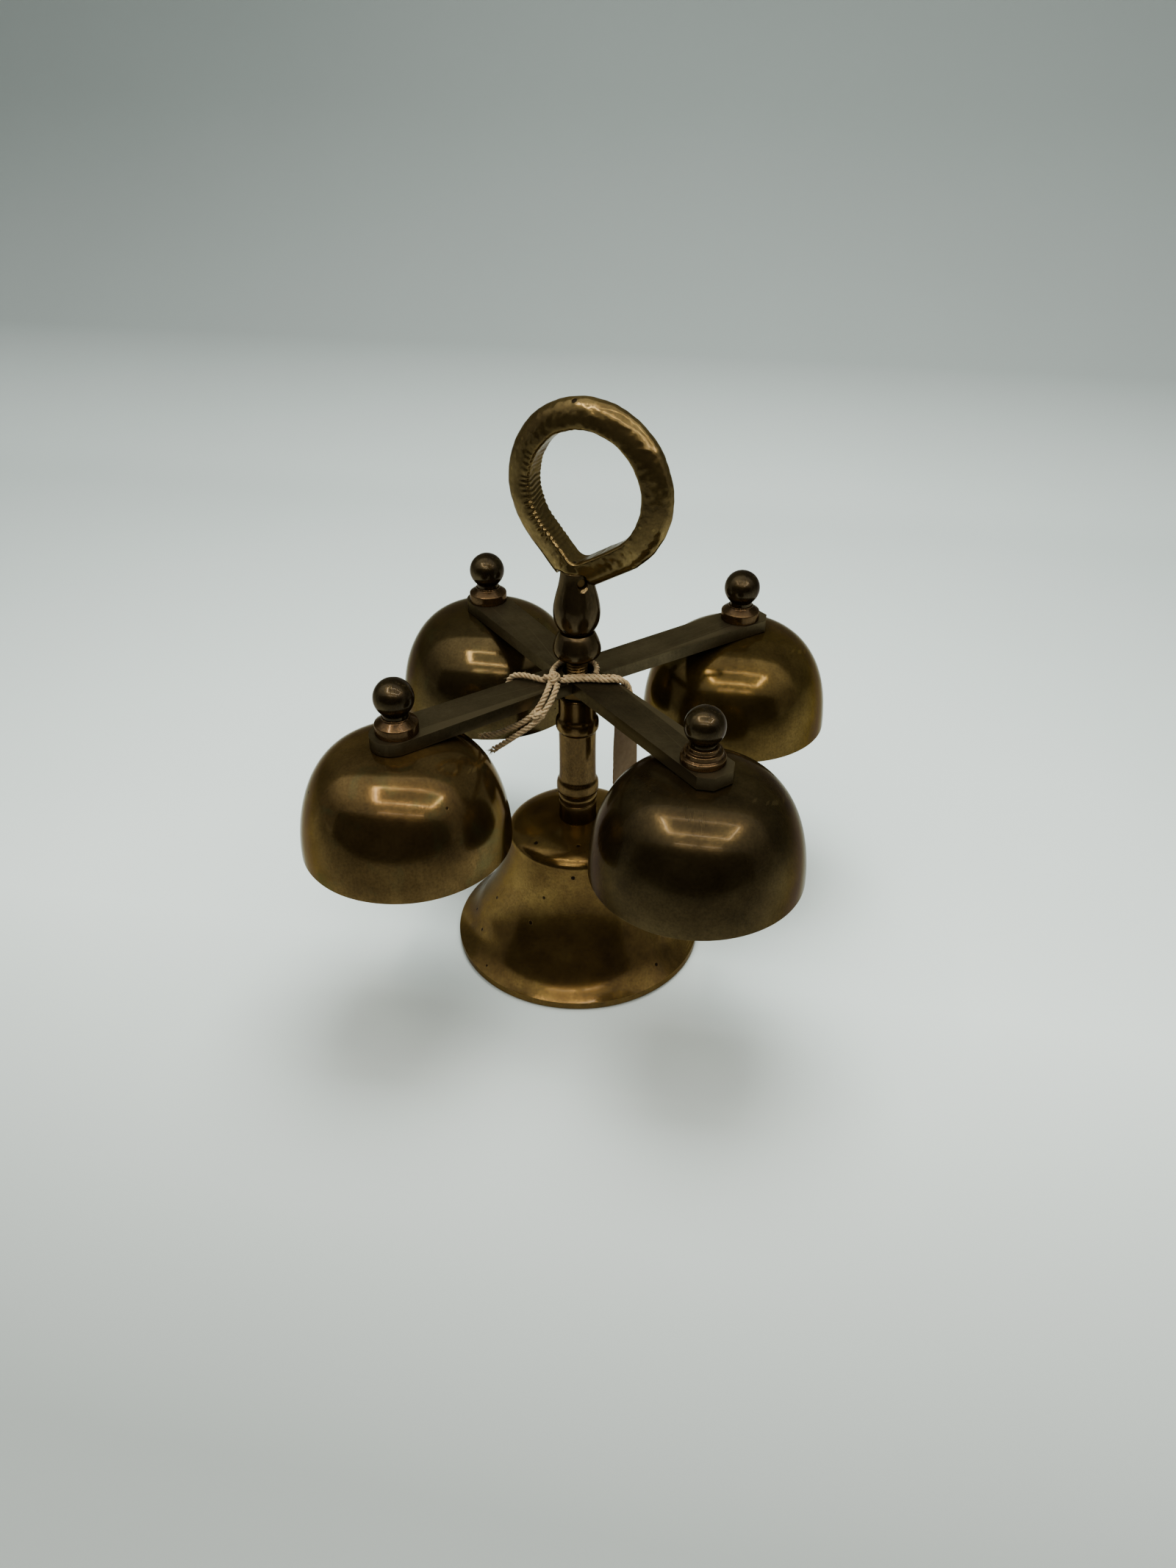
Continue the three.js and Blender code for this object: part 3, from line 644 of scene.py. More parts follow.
def brass(name, seed, pale, mid, dark, rough=0.34, coat=0.25, brush=0.35, spots=0.3, tarnish=0.5,
          around=55.0, along=120.0, edge=0.5, cast=0.0, green=0.0, metallic=0.86, grain=0.26):
    """Aged brass: tarnish clouds, brush marks round or along the piece, dark spots with pits, and lighter edges
    that are partly wear and partly a painted highlight.
    cast adds the lumpy skin of a sand casting; green adds patches of verdigris."""
    material, nodes, links, out = new_material(name)
    place = coordinates(nodes, links, (1, 1, 1), seed)
    cloud = noise_at(nodes, links, place, 34, 7, 0.6, 0.6)
    patch = noise_at(nodes, links, place, 120, 6, 0.62, 0.3)
    fine = noise_at(nodes, links, place, 1300, 5, 0.75)
    dents = noise_at(nodes, links, place, 260, 3, 0.5)
    marks = noise_at(nodes, links, round_coordinates(nodes, links, seed, around, along), 1, 6, 0.62)
    mottled = mix_value(nodes, links, cloud, patch, 0.4)
    mottled = mix_value(nodes, links, mottled, marks, 0.6 * brush)
    low = 0.5 - 0.24 + 0.1 * tarnish
    colour = ramp(nodes, links, mottled, [(low, dark), (0.46 + 0.06 * tarnish, mid), (0.66, pale)])
    streaks = ramp(nodes, links, marks, [(0.32, 0.72), (0.5, 1.0), (0.68, 1.12)])
    colour = mix_colour(nodes, links, brush, colour, streaks, "MULTIPLY")
    speck = ramp(nodes, links, fine, [(0.38, 0.55), (0.56, 1.0)])
    colour = mix_colour(nodes, links, 0.6, colour, speck, "MULTIPLY")
    if green:
        verdigris = ramp(nodes, links, noise_at(nodes, links, place, 75, 6, 0.65, 0.8), [(0.55, 0), (0.68, green)])
        colour = mix_colour(nodes, links, verdigris, colour, (0.09, 0.105, 0.05))
    cells = nodes.new("ShaderNodeTexVoronoi")
    cells.inputs["Scale"].default_value = 210
    cells.inputs["Randomness"].default_value = 1
    links.new(place, cells.inputs["Vector"])
    split = nodes.new("ShaderNodeSeparateColor")
    links.new(cells.outputs["Color"], split.inputs[0])
    size = arithmetic(nodes, links, "MULTIPLY_ADD", split.outputs[0], 1.1 * spots, -0.72 * spots)
    near = arithmetic(nodes, links, "SUBTRACT", size, cells.outputs["Distance"])
    ragged = arithmetic(nodes, links, "MULTIPLY_ADD", patch, 0.3, near)
    spot = ramp(nodes, links, ragged, [(0.15, 0), (0.2, 1)])
    colour = mix_colour(nodes, links, spot, colour, tuple(0.45 * c for c in dark))
    geometry = nodes.new("ShaderNodeNewGeometry")
    # Lighter convex edges: partly edge wear and partly a painted highlight along bevels.
    wear_and_highlight = ramp(nodes, links, geometry.outputs["Pointiness"], [(0.505, 0), (0.56, edge)])
    # Darker in the concave hollows.
    hollow_dark = ramp(nodes, links, geometry.outputs["Pointiness"], [(0.43, 0.75), (0.492, 0)])
    colour = mix_colour(nodes, links, wear_and_highlight, colour, tuple(min(1, 1.35 * c) for c in pale))
    colour = mix_colour(nodes, links, hollow_dark, colour, tuple(0.4 * c for c in dark))
    shader = nodes.new("ShaderNodeBsdfPrincipled")
    shader.inputs["Metallic"].default_value = metallic
    shader.inputs["Coat Weight"].default_value = coat
    shader.inputs["Coat Roughness"].default_value = 0.055
    shader.inputs["Coat IOR"].default_value = 1.45
    shader.inputs["Specular Tint"].default_value = (0.42, 0.36, 0.28, 1)
    shader.inputs["Specular IOR Level"].default_value = 0.15
    links.new(colour, shader.inputs["Base Color"])
    dull = mix_value(nodes, links, cloud, marks, 0.3)
    shine = ramp(nodes, links, dull, [(0.3, rough + 0.1), (0.5, rough), (0.7, rough - 0.05)])
    shine = mix_colour(nodes, links, spot, shine, (0.75, 0.75, 0.75))
    links.new(shine, shader.inputs["Roughness"])
    height = mix_value(nodes, links, mix_value(nodes, links, marks, fine, 0.75), dents, 0.35)
    under = None
    if cast:
        lumps = mix_value(nodes, links, patch, noise_at(nodes, links, place, 420, 4, 0.6), 0.5)
        node = nodes.new("ShaderNodeBump")
        node.inputs["Strength"].default_value = cast
        node.inputs["Distance"].default_value = 0.0006
        links.new(lumps, node.inputs["Height"])
        under = node.outputs[0]
    pits = nodes.new("ShaderNodeBump")
    pits.inputs["Strength"].default_value = 0.6
    pits.inputs["Distance"].default_value = 0.00015
    pits.invert = True
    links.new(spot, pits.inputs["Height"])
    if under is not None:
        links.new(under, pits.inputs["Normal"])
    bump(nodes, links, height, shader, grain, 0.0001, pits.outputs[0])
    links.new(shader.outputs[0], out.inputs[0])
    return material


# ---------------------------------------------------------------- shapes shared with the CAD part, in millimetres
BORE = 3.5
ROD_R = 3.4
BASE_RIM_R = 42.8
BASE_LIP = 2.6
BASE_SHOULDER_R = 23.9
BASE_SHOULDER_Z = 43
BASE_CROWN_Z = 49.4
BASE_WALL = 2.2
BASE_CURL = 1.3  # how much flatter the flare runs out to its lip
BASE_CURL_H = 12
SEAM_Z = 59.6
DOME_R = 32
DOME_H = 33.9
DOME_WALL = 1.8
DOME_CROWN_Z = 100.9
DOME_FULLNESS = 3.4
STUD_R = 2.4
STUD_BORE = 2.55
PLATE_LOW = 101
PLATE_TOP = 105
BALL_R = 5.9
BALL_Z = 116.1
STEM_TOP = 139
PIN_Z = 136
PIN_BEARING = math.radians(-57)
LINK_R = 3
LINK_WIRE = 0.7
EYE_MIDDLE = 1.78
EYE_SECTION = oval(0.52, 0.8, 16, 0.6)
BASE_EYE_Z = 36
DOME_EYE_Z = 92.4
# Each arm: bearing in degrees, reach, and whether its end is square.
ARMS = {
    "front_right": (-44.7, 63.0, True),
    "back_right": (45.2, 66.3, True),
    "back_left": (132.6, 60.3, False),
    "front_left": (226.7, 63.3, False),
}


def arm_tip(name):
    bearing, reach, _ = ARMS[name]
    a = math.radians(bearing)
    return reach * math.cos(a), reach * math.sin(a)


def dome_outline(r, h, steps=40):
    points = []
    for i in range(steps + 1):
        a = i / steps * math.pi / 2
        points.append((r * math.cos(a) ** (2 / DOME_FULLNESS), h * math.sin(a)))
    return points


def up_to_bore(outline, bore):
    kept = [p for p in outline if p[0] > bore + 0.5]
    return [*kept, (bore, outline[-1][1])]


def make_dome(name, material):
    base = DOME_CROWN_Z - DOME_H
    outer = up_to_bore(dome_outline(DOME_R, DOME_H), STUD_BORE)
    inner = up_to_bore(dome_outline(DOME_R - DOME_WALL, DOME_H - DOME_WALL), STUD_BORE)
    outline = [(r, z + base) for r, z in [*outer, *inner[::-1]]]
    dome = lathe(f"dome_{name}_shell", outline, arm_tip(name), 160, 0.5, wobble=0.25)
    centre_on(dome, base + DOME_H / 2)
    settle(dome, material, "cross", "bell_brass", f"dome_bell_{name}")


def centre_on(obj, height):
    """Moves the object's origin up its axis to a height in millimetres, leaving the shape where it is."""
    obj.data.transform(Matrix.Translation((0, 0, -height * MM)))
    obj.location.z += height * MM


def base_flare(z):
    t = (BASE_SHOULDER_Z - z) / (BASE_SHOULDER_Z - BASE_LIP)
    up = min(1, (z - BASE_LIP) / BASE_CURL_H)
    curl = BASE_CURL * (1 - up) * math.sin(math.pi * up)
    return BASE_SHOULDER_R + 4 * t + (BASE_RIM_R - BASE_SHOULDER_R - 4) * t**2.3 - curl


def base_outline(inset, steps=40):
    outline = [(BASE_RIM_R - inset, 0)]
    for i in range(steps + 1):
        z = BASE_LIP + (i / steps) ** 1.3 * (BASE_SHOULDER_Z - BASE_LIP)
        outline.append((base_flare(z) - inset, z))
    for i in range(1, 17):
        a = i / 16 * math.pi / 2
        rise = BASE_CROWN_Z - inset - BASE_SHOULDER_Z
        r = (BASE_SHOULDER_R - inset) * math.cos(a) ** 0.84
        outline.append((r, BASE_SHOULDER_Z + rise * math.sin(a) ** 0.84))
    return up_to_bore(outline, BORE)


def make_base(material, dull):
    outline = [*base_outline(0), *base_outline(BASE_WALL)[::-1]]
    bell = lathe("base_bell_shell", outline, segments=180, radius=0.5, corner=0.5, wobble=0.2)
    settle(bell, material, "stand", "base_brass", "base_bell")
    settle(hex_nut("base_nut_hex", 6.4, BORE, 41.6, 46.6), dull, "stand", "rod_brass", "base_nut")


def make_rod(material):
    """The column's threaded rod, with its thread cut where it shows, and an eye at its foot."""
    segments = 96
    pitch = 1
    depth = 0.42
    step = 0.1
    heights = [39.6, 40.2, 60, 80, 99]
    heights += [101 + step * i for i in range(int(9.5 / step) + 1)]
    heights += [118, 126.4, 127]
    vertices = []
    rows = []
    for z in heights:
        inset = 0.6 if z in (39.6, 127) else 0
        rows.append(len(vertices))
        for j in range(segments):
            a = 2 * math.pi * j / segments
            r = ROD_R - inset
            if 101 <= z <= 110.5:
                phase = ((z / pitch - j / segments) % 1) * 2 - 1
                fade = min(1, (z - 101) / 0.6, (110.5 - z) / 0.4)
                r -= depth * (1 - abs(phase)) * max(0, fade)
            vertices.append((r * math.cos(a), r * math.sin(a), z))
    faces = []
    for low, high in zip(rows, rows[1:]):
        for j in range(segments):
            i = (j + 1) % segments
            faces.append((low + j, low + i, high + i, high + j))
    faces.append([rows[0] + j for j in range(segments)][::-1])
    faces.append([rows[-1] + j for j in range(segments)])
    shank = mesh_object("shank", vertices, faces, (*AXIS, 0), 1.0)
    rod = join("centre_rod_turned", [shank, eye(BASE_EYE_Z), neck_of_eye(BASE_EYE_Z, 39.9)], (*AXIS, 0))
    settle(rod, material, "stand", "rod_brass", "centre_rod")


def eye(hole_z, at=(0, 0)):
    return hoop(EYE_MIDDLE, EYE_SECTION, True, hole_z, 48, at)


def neck_of_eye(hole_z, end_z, at=(0, 0)):
    """The short stalk between an eye and what it is part of."""
    sign = 1 if end_z > hole_z else -1
    start = hole_z + sign * 1.5
    line = [Vector((0, 0, start + (end_z - start) * t / 4)) for t in range(5)]
    vertices = []
    faces = []
    strand(vertices, faces, line, [1.0, 0.95, 0.95, 1.05, 1.3], 24)
    return mesh_object("stalk", vertices, faces, (AXIS[0] + at[0], AXIS[1] + at[1], 0))


def make_clapper(name, eye_z, ball_z, ball_r, material, at=(0, 0)):
    """A clapper on its wire link, hung from the eye above."""
    link = hoop(LINK_R, oval(LINK_WIRE, LINK_WIRE), False, eye_z - LINK_R, 64, at)
    link.name = f"link_{name}_wire"
    hole_z = eye_z - 2 * LINK_R
    outline = [(0, ball_z - ball_r)]
    for i in range(1, 25):
        a = -math.pi / 2 + i / 24 * math.pi * 0.93
        outline.append((ball_r * math.cos(a), ball_z + ball_r * math.sin(a)))
    top = hole_z - 2.2
    outline += [(1.3, ball_z + ball_r + 0.6), (1.25, top), (0, top)]
    ball = lathe("ball", outline, at, 96, 0.3)
    body = join(f"clapper_{name}_turned", [ball, eye(hole_z, at), neck_of_eye(hole_z, top - 0.3, at)],
                (AXIS[0] + at[0], AXIS[1] + at[1], ball_z))
    shade(body, 1.0)
    settle(link, material, f"link_{name}", "rod_brass", f"clapper_link_{name}")
    settle(body, material, f"clapper_{name}", "rod_brass", f"clapper_{name}")


COLUMN_FOOT = [
    (6.35, 49.4), (6.25, 50.6), (6.25, 54.9), (6.22, 55.9), (5.85, 56.3), (6.22, 56.7), (6.3, 58.6),
    (5.9, 59.6),
]
COLUMN = [
    (6, 59.6), (6.8, 60.4), (7, 62.2), (6.8, 64), (6.2, 65.3), (6.1, 66.2), (6.1, 82.6), (6.22, 83.5),
    (6.85, 84.5), (7, 86), (6.85, 87.5), (6.25, 88.7), (6.05, 89.6), (6.05, 96), (5.6, 96.5),
]
BEAD = [
    (5.6, 110), (6.9, 110.8), (7.5, 112.2), (7.4, 113.8), (6.8, 115.8), (6, 117.6), (5.4, 118.6),
]
PEAR = [
    (3.5, 118.6), (4.4, 118.6), (5, 119), (6, 120.2), (6.9, 122.2), (7.25, 124.6), (7.1, 127.4),
    (6.5, 130.4), (5.7, 133.4), (5.1, 136.4), (4.8, 139), (3.3, 139), (3.3, 129.5), (0, 129.5),
    (0, 127.6), (3.5, 127.6),
]


def level_cylinder(radii, reaches, height, bearing):
    """A turned plug lying level through the axis, from [radius] at each [distance]."""
    direction = Vector((math.cos(bearing), math.sin(bearing), 0))
    line = [direction * reach + Vector((0, 0, height)) for reach in reaches]
    vertices = []
    faces = []
    strand(vertices, faces, line, radii, 48)
    return mesh_object("plug", vertices, faces, (*AXIS, 0))


def make_column(material, bead_material, dull):
    foot = lathe("column_foot_turned", with_bore(COLUMN_FOOT, BORE), radius=0.25, corner=0.65)
    centre_on(foot, 54)
    settle(foot, material, "stand", "turned_brass", "column_foot")
    shaft = lathe("column_turned", with_bore(COLUMN, BORE), radius=0.3, corner=0.7)
    centre_on(shaft, 78)
    settle(shaft, material, "stand", "turned_brass", "column")
    settle(hex_nut("lock_nut_hex", 5.6, BORE, 96.5, 100), dull, "stand", "rod_brass", "lock_nut")
    washer = lathe("hub_washer_turned", with_bore([(6.2, 100), (6.2, 100.9)], BORE), radius=0.25)
    settle(washer, dull, "stand", "rod_brass", "hub_washer")
    bead = lathe("bead_turned", with_bore(BEAD, BORE), radius=0.3, corner=0.8)
    centre_on(bead, 114)
    settle(bead, bead_material, "stand", "turned_brass", "bead_nut")
    stem = lathe("handle_stem_turned", PEAR, radius=0.3, corner=0.9)
    cut(stem, level_cylinder([2.6, 2.6, 1.65, 1.65, 2.6, 2.6], [-8, -5.75, -4.8, 4.8, 5.75, 8], PIN_Z,
                             PIN_BEARING))
    shade(stem, 0.7)
    centre_on(stem, 128)
    settle(stem, bead_material, "stand", "turned_brass", "handle_stem")
    pin = level_cylinder([1.2, 1.5, 1.5, 1.2], [-3.8, -3.5, 3.5, 3.8], PIN_Z, PIN_BEARING)
    pin.name = "handle_pin_turned"
    settle(pin, dull, "stand", "rod_brass", "handle_pin")


# ---------------------------------------------------------------- ring handle
RING_R = 20.8
RING_CENTRE_H = 27.1
RING_POINT_Z = 137.4
RING_FILLET = 6.4
RING_OUT = 5.2
RING_IN = 3.2
RING_T = 8.4
RING_LEAN = 0.157
RING_TURN = -0.267


def ring_path():
    """A circle drawn down to a rounded point, as (across, up) from that point, evenly spaced."""
    arc_end = math.acos(RING_R / RING_CENTRE_H)
    half_point = math.asin(RING_R / RING_CENTRE_H)
    path = []
    for i in range(121):
        a = -math.pi / 2 + arc_end + i / 120 * (2 * math.pi - 2 * arc_end)
        path.append(Vector((RING_R * math.cos(a), RING_CENTRE_H + RING_R * math.sin(a), 0)))
    sweep = math.pi / 2 - half_point
    up = RING_FILLET / math.sin(half_point)
    for i in range(13):
        a = -math.pi / 2 - sweep + i / 12 * 2 * sweep
        path.append(Vector((RING_FILLET * math.cos(a), up + RING_FILLET * math.sin(a), 0)))
    return evenly([*path, path[0]], 0.8)[:-1]


def ring_section():
    """Rounded outside, flat inside with small bevels, as (out, across)."""
    section = []
    for i in range(33):
        a = -math.pi / 2 + i / 32 * math.pi
        out = (RING_OUT + RING_IN - 0.6) * max(0, math.cos(a)) ** 0.9 - RING_IN + 0.6
        section.append((out, RING_T / 2 * math.sin(a)))
    bevel = RING_T / 2 - 0.8
    for i in range(13):
        section.append((-RING_IN, bevel - 2 * bevel * i / 12))
    return section


def make_ring(material):
    path = ring_path()
    section = ring_section()
    n = len(path)
    m = len(section)
    vertices = []
    for i, p in enumerate(path):
        run = path[(i + 1) % n] - path[i - 1]
        out = Vector((run.y, -run.x, 0)).normalized()
        for w, y in section:
            vertices.append((p.x + out.x * w, y, p.y + out.y * w))
    faces = []
    for i in range(n):
        for j in range(m):
            k = (j + 1) % m
            i2 = (i + 1) % n
            faces.append((i * m + j, i2 * m + j, i2 * m + k, i * m + k))
    turn = Matrix.Rotation(RING_TURN, 3, "Z") @ Matrix.Rotation(RING_LEAN, 3, "Y")
    vertices = [turn @ Vector(v) + Vector((0, 0, RING_POINT_Z)) for v in vertices]
    ring = mesh_object("ring", vertices, faces, (*AXIS, 0), 3)
    room = lathe("room", [(0, 100), (5.9, 100), (5.9, STEM_TOP), (0, STEM_TOP)], segments=96, radius=0.05)
    cut(ring, room)
    neck = lathe("neck", [
        (0, 130), (3.2, 130), (3.2, STEM_TOP), (4.8, STEM_TOP), (4.6, 140.4), (4.1, 142.2), (0, 142.2),
    ], segments=96, radius=0.15)
    cut(ring, neck, "UNION")
    cut(ring, level_cylinder([1.65, 1.65], [-6, 6], PIN_Z, PIN_BEARING))
    remesh = ring.modifiers.new("even", "REMESH")
    remesh.mode = "VOXEL"
    remesh.voxel_size = 0.3 * MM
    smooth = ring.modifiers.new("soften", "SMOOTH")
    smooth.iterations = 3
    smooth.factor = 0.5
    apply_modifiers(ring)
    batter_ring(ring, turn)
    shade(ring, 3)
    middle = RING_POINT_Z + RING_CENTRE_H
    centre_on(ring, middle)
    ring.name = "ring_handle_cast"
    settle(ring, material, "stand", "cast_brass", "ring_handle")


def batter_ring(ring, turn):
    """The lumps, filed ridges and pits of a sand casting, by where a point lies round the loop."""
    back = turn.inverted()
    centre = Vector((0, 0, RING_CENTRE_H))
    pits = []
    for _ in range(26):
        a = rng.gauss(math.pi * 0.56, 0.5)
        pits.append((a, rng.uniform(-3.4, 3.4), rng.uniform(0.35, 0.8), rng.uniform(0.12, 0.35)))
    mesh = ring.data
    normals = [v.normal.copy() for v in mesh.vertices]
    for v, normal in zip(mesh.vertices, normals):
        local = v.co / MM
        if local.z < STEM_TOP + 1.5:
            continue
        p = back @ (local - Vector((0, 0, RING_POINT_Z)))
        q = p - centre
        around = math.atan2(q.z, q.x)
        inside = max(0, min(1, (RING_R - math.hypot(q.x, q.z)) / 2.2))
        fade = min(1, (local.z - STEM_TOP - 1.5) / 3)
        lift = 0.22 * noise.noise(local * 0.16) + 0.1 * noise.noise(local * 0.55)
        left = max(0, min(1, (-q.x / RING_R + 0.25) * 1.4)) * max(0, min(1, (0.5 - q.z / RING_R) * 1.5))
        wander = noise.noise(Vector((around * 3, p.y * 0.2, 4.0)))
        ridge = math.sin(around * 74 + wander * 5 + p.y * 0.35)
        lift += 0.2 * left * inside * ridge * (0.55 + 0.45 * noise.noise(Vector((around * 9, p.y * 0.4, 1.0))))
        for a, y, size, deep in pits:
            away = math.hypot((around - a) * RING_R * 0.86, p.y - y)
            if away < size * 2:
                lift -= deep * inside * math.exp(-((away / size) ** 2) * 2)
        v.co = (local + normal * lift * fade) * MM


# ---------------------------------------------------------------- cross plate and what stands on it
def prism(name, outline, low, high):
    n = len(outline)
    vertices = [(x, y, low) for x, y in outline] + [(x, y, high) for x, y in outline]
    faces = [list(range(n))[::-1], list(range(n, 2 * n))]
    faces += [(i, (i + 1) % n, n + (i + 1) % n, n + i) for i in range(n)]
    return mesh_object(name, vertices, faces, (*AXIS, 0))


def arm_outline(bearing, reach, square):
    half = 6.75
    hub = 5.75
    points = [(0, -hub)]
    if square:
        point = 3.4
        tip = reach + half + 2.4
        points += [(tip - point, -half), (tip, point - half), (tip, half - point), (tip - point, half)]
    else:
        for i in range(25):
            a = -math.pi / 2 + i / 24 * math.pi
            points.append((reach + 1.6 + half * math.cos(a), half * math.sin(a)))
    points.append((0, hub))
    c = math.cos(math.radians(bearing))
    s = math.sin(math.radians(bearing))
    return [(x * c - y * s, x * s + y * c) for x, y in points]


def make_plate(material):
    hub = []
    for i in range(8):
        a = math.pi / 4 * i + math.pi / 8
        hub.append((9 * math.cos(a), 9 * math.sin(a)))
    plate = prism("cross_plate_cut", hub, PLATE_LOW, PLATE_TOP)
    for bearing, reach, square in ARMS.values():
        cut(plate, prism("arm", arm_outline(bearing, reach, square), PLATE_LOW, PLATE_TOP), "UNION")
    holes = [(0, 0, 4.6)] + [(*arm_tip(name), STUD_BORE) for name in ARMS]
    for x, y, r in holes:
        ring = [(x + r * math.cos(math.pi * i / 24), y + r * math.sin(math.pi * i / 24)) for i in range(48)]
        cut(plate, prism("hole", ring, PLATE_LOW - 1, PLATE_TOP + 1))
    work = bmesh.new()
    work.from_mesh(plate.data)
    bmesh.ops.remove_doubles(work, verts=work.verts, dist=2e-5)
    bmesh.ops.dissolve_limit(work, angle_limit=0.01, verts=work.verts, edges=work.edges)
    work.to_mesh(plate.data)
    work.free()
    bevel = plate.modifiers.new("bevel", "BEVEL")
    bevel.width = 0.45 * MM
    bevel.segments = 3
    bevel.limit_method = "ANGLE"
    bevel.angle_limit = 0.6
    apply_modifiers(plate)
    for polygon in plate.data.polygons:
        polygon.use_smooth = True
    weighted = plate.modifiers.new("weighted", "WEIGHTED_NORMAL")
    weighted.keep_sharp = True
    apply_modifiers(plate)
    centre_on(plate, (PLATE_LOW + PLATE_TOP) / 2)
    settle(plate, material, "cross", "plate_bronze", "cross_plate")


COLLAR_PLAIN = [(6.4, 105), (6.4, 108.1), (4.1, 109.7), (4.1, 110.2)]
COLLAR_STEPPED = [(6.5, 105), (6.5, 106.9), (5.6, 107.3), (5.6, 108.7), (4.5, 109), (4.5, 110.2)]


def make_arm_parts(name, golden, dark, dull):
    at = arm_tip(name)
    outline = COLLAR_STEPPED if name == "front_right" else COLLAR_PLAIN
    collar = lathe(f"collar_{name}_turned", with_bore(outline, STUD_BORE), at, radius=0.35, corner=0.5)
    centre_on(collar, 107)
    settle(collar, golden, "cross", "turned_brass", f"collar_{name}")
    profile = [(0, 115.2), (STUD_BORE, 115.2), (STUD_BORE, 110.2), (3.7, 110.2)]
    for i in range(25):
        a = -0.86 + i / 24 * (math.pi / 2 + 0.86)
        profile.append((max(0, BALL_R * math.cos(a)), BALL_Z + BALL_R * math.sin(a)))
    profile[-1] = (0, profile[-1][1])
    ball = lathe(f"finial_{name}_turned", profile, at, 128, 0.3, wobble=0.08)
    centre_on(ball, BALL_Z)
    settle(ball, dark, "cross", "turned_brass", f"ball_finial_{name}")
    nut = hex_nut(f"dome_nut_{name}_hex", 5, STUD_BORE, 95.8, 98.8, at)
    settle(nut, dull, "cross", "rod_brass", f"dome_nut_{name}")
    shank = lathe("shank", [(0, 95), (STUD_R, 95), (STUD_R, 115.1), (0, 115.1)], at, 64, 0.3)
    stud = join(f"stud_{name}_turned", [shank, eye(DOME_EYE_Z, at), neck_of_eye(DOME_EYE_Z, 95.3, at)],
                (AXIS[0] + at[0], AXIS[1] + at[1], 100))
    shade(stud, 1.0)
    settle(stud, dull, "cross", "rod_brass", f"stud_{name}")
    make_clapper(name, DOME_EYE_Z, 67.5, 6, dull, at)


# ---------------------------------------------------------------- tag
TAG_W = 11
TAG_H = 27
TAG_T = 0.45
TAG_TOP = 94.8
TAG_AT = (16.61, -4.62)
TAG_TURN = 1.01
TAG_CUT = 3
TAG_HOLE = 2.5


def make_tag():
    """A blank card tag with clipped upper corners, a torn lower edge and a slight curl."""
    columns = 24
    rows = 58
    front = []
    for j in range(rows + 1):
        v = TAG_H * j / rows
        half = TAG_W / 2 - max(0, TAG_CUT - v)
        ragged = 0.35 * max(0, v / TAG_H - 0.35) * noise.noise(Vector((v * 1.7, 2.0, 5.0)))
        for i in range(columns + 1):
            u = -half + 2 * half * i / columns
            if i == 0:
                u += abs(ragged) * 2
            curl = 0.35 * (u / TAG_W) ** 2 * 4 * (v / TAG_H) + 0.25 * noise.noise(Vector((u * 0.2, v * 0.12, 1.0)))
            front.append((u, curl - 0.15, -v))
    width = columns + 1
    total = len(front)
    vertices = [(u, y - TAG_T / 2, z) for u, y, z in front] + [(u, y + TAG_T / 2, z) for u, y, z in front]
    faces = []
    for j in range(rows):
        for i in range(columns):
            a = j * width + i
            quad = (a, a + 1, a + width + 1, a + width)
            faces.append(quad)
            faces.append(tuple(total + k for k in quad[::-1]))
    rim = [i for i in range(width)] + [j * width + columns for j in range(1, rows + 1)]
    rim += [rows * width + i for i in range(columns - 1, -1, -1)]
    rim += [j * width for j in range(rows - 1, 0, -1)]
    for a, b in zip(rim, rim[1:] + rim[:1]):
        faces.append((a, total + a, total + b, b))
    tag = mesh_object("tag_card", vertices, faces, (0, 0, 0), 0.6)
    line = [Vector((0, y, -TAG_HOLE)) for y in (-3, 0, 3)]
    hole = []
    hole_faces = []
    strand(hole, hole_faces, line, [1.6, 1.6, 1.6], 40)
    cut(tag, mesh_object("hole", hole, hole_faces))
    tag.data.transform(Matrix.Rotation(TAG_TURN, 4, "Z"))
    tag.location = Vector((AXIS[0] + TAG_AT[0], AXIS[1] + TAG_AT[1], TAG_TOP)) * MM
    shade(tag, 0.6)
    card = fibre_material("card_paper", (0.21, 0.145, 0.085), (0.14, 0.092, 0.05), 5, 0.0)
    return settle(tag, card, "cross", "card", "tag")


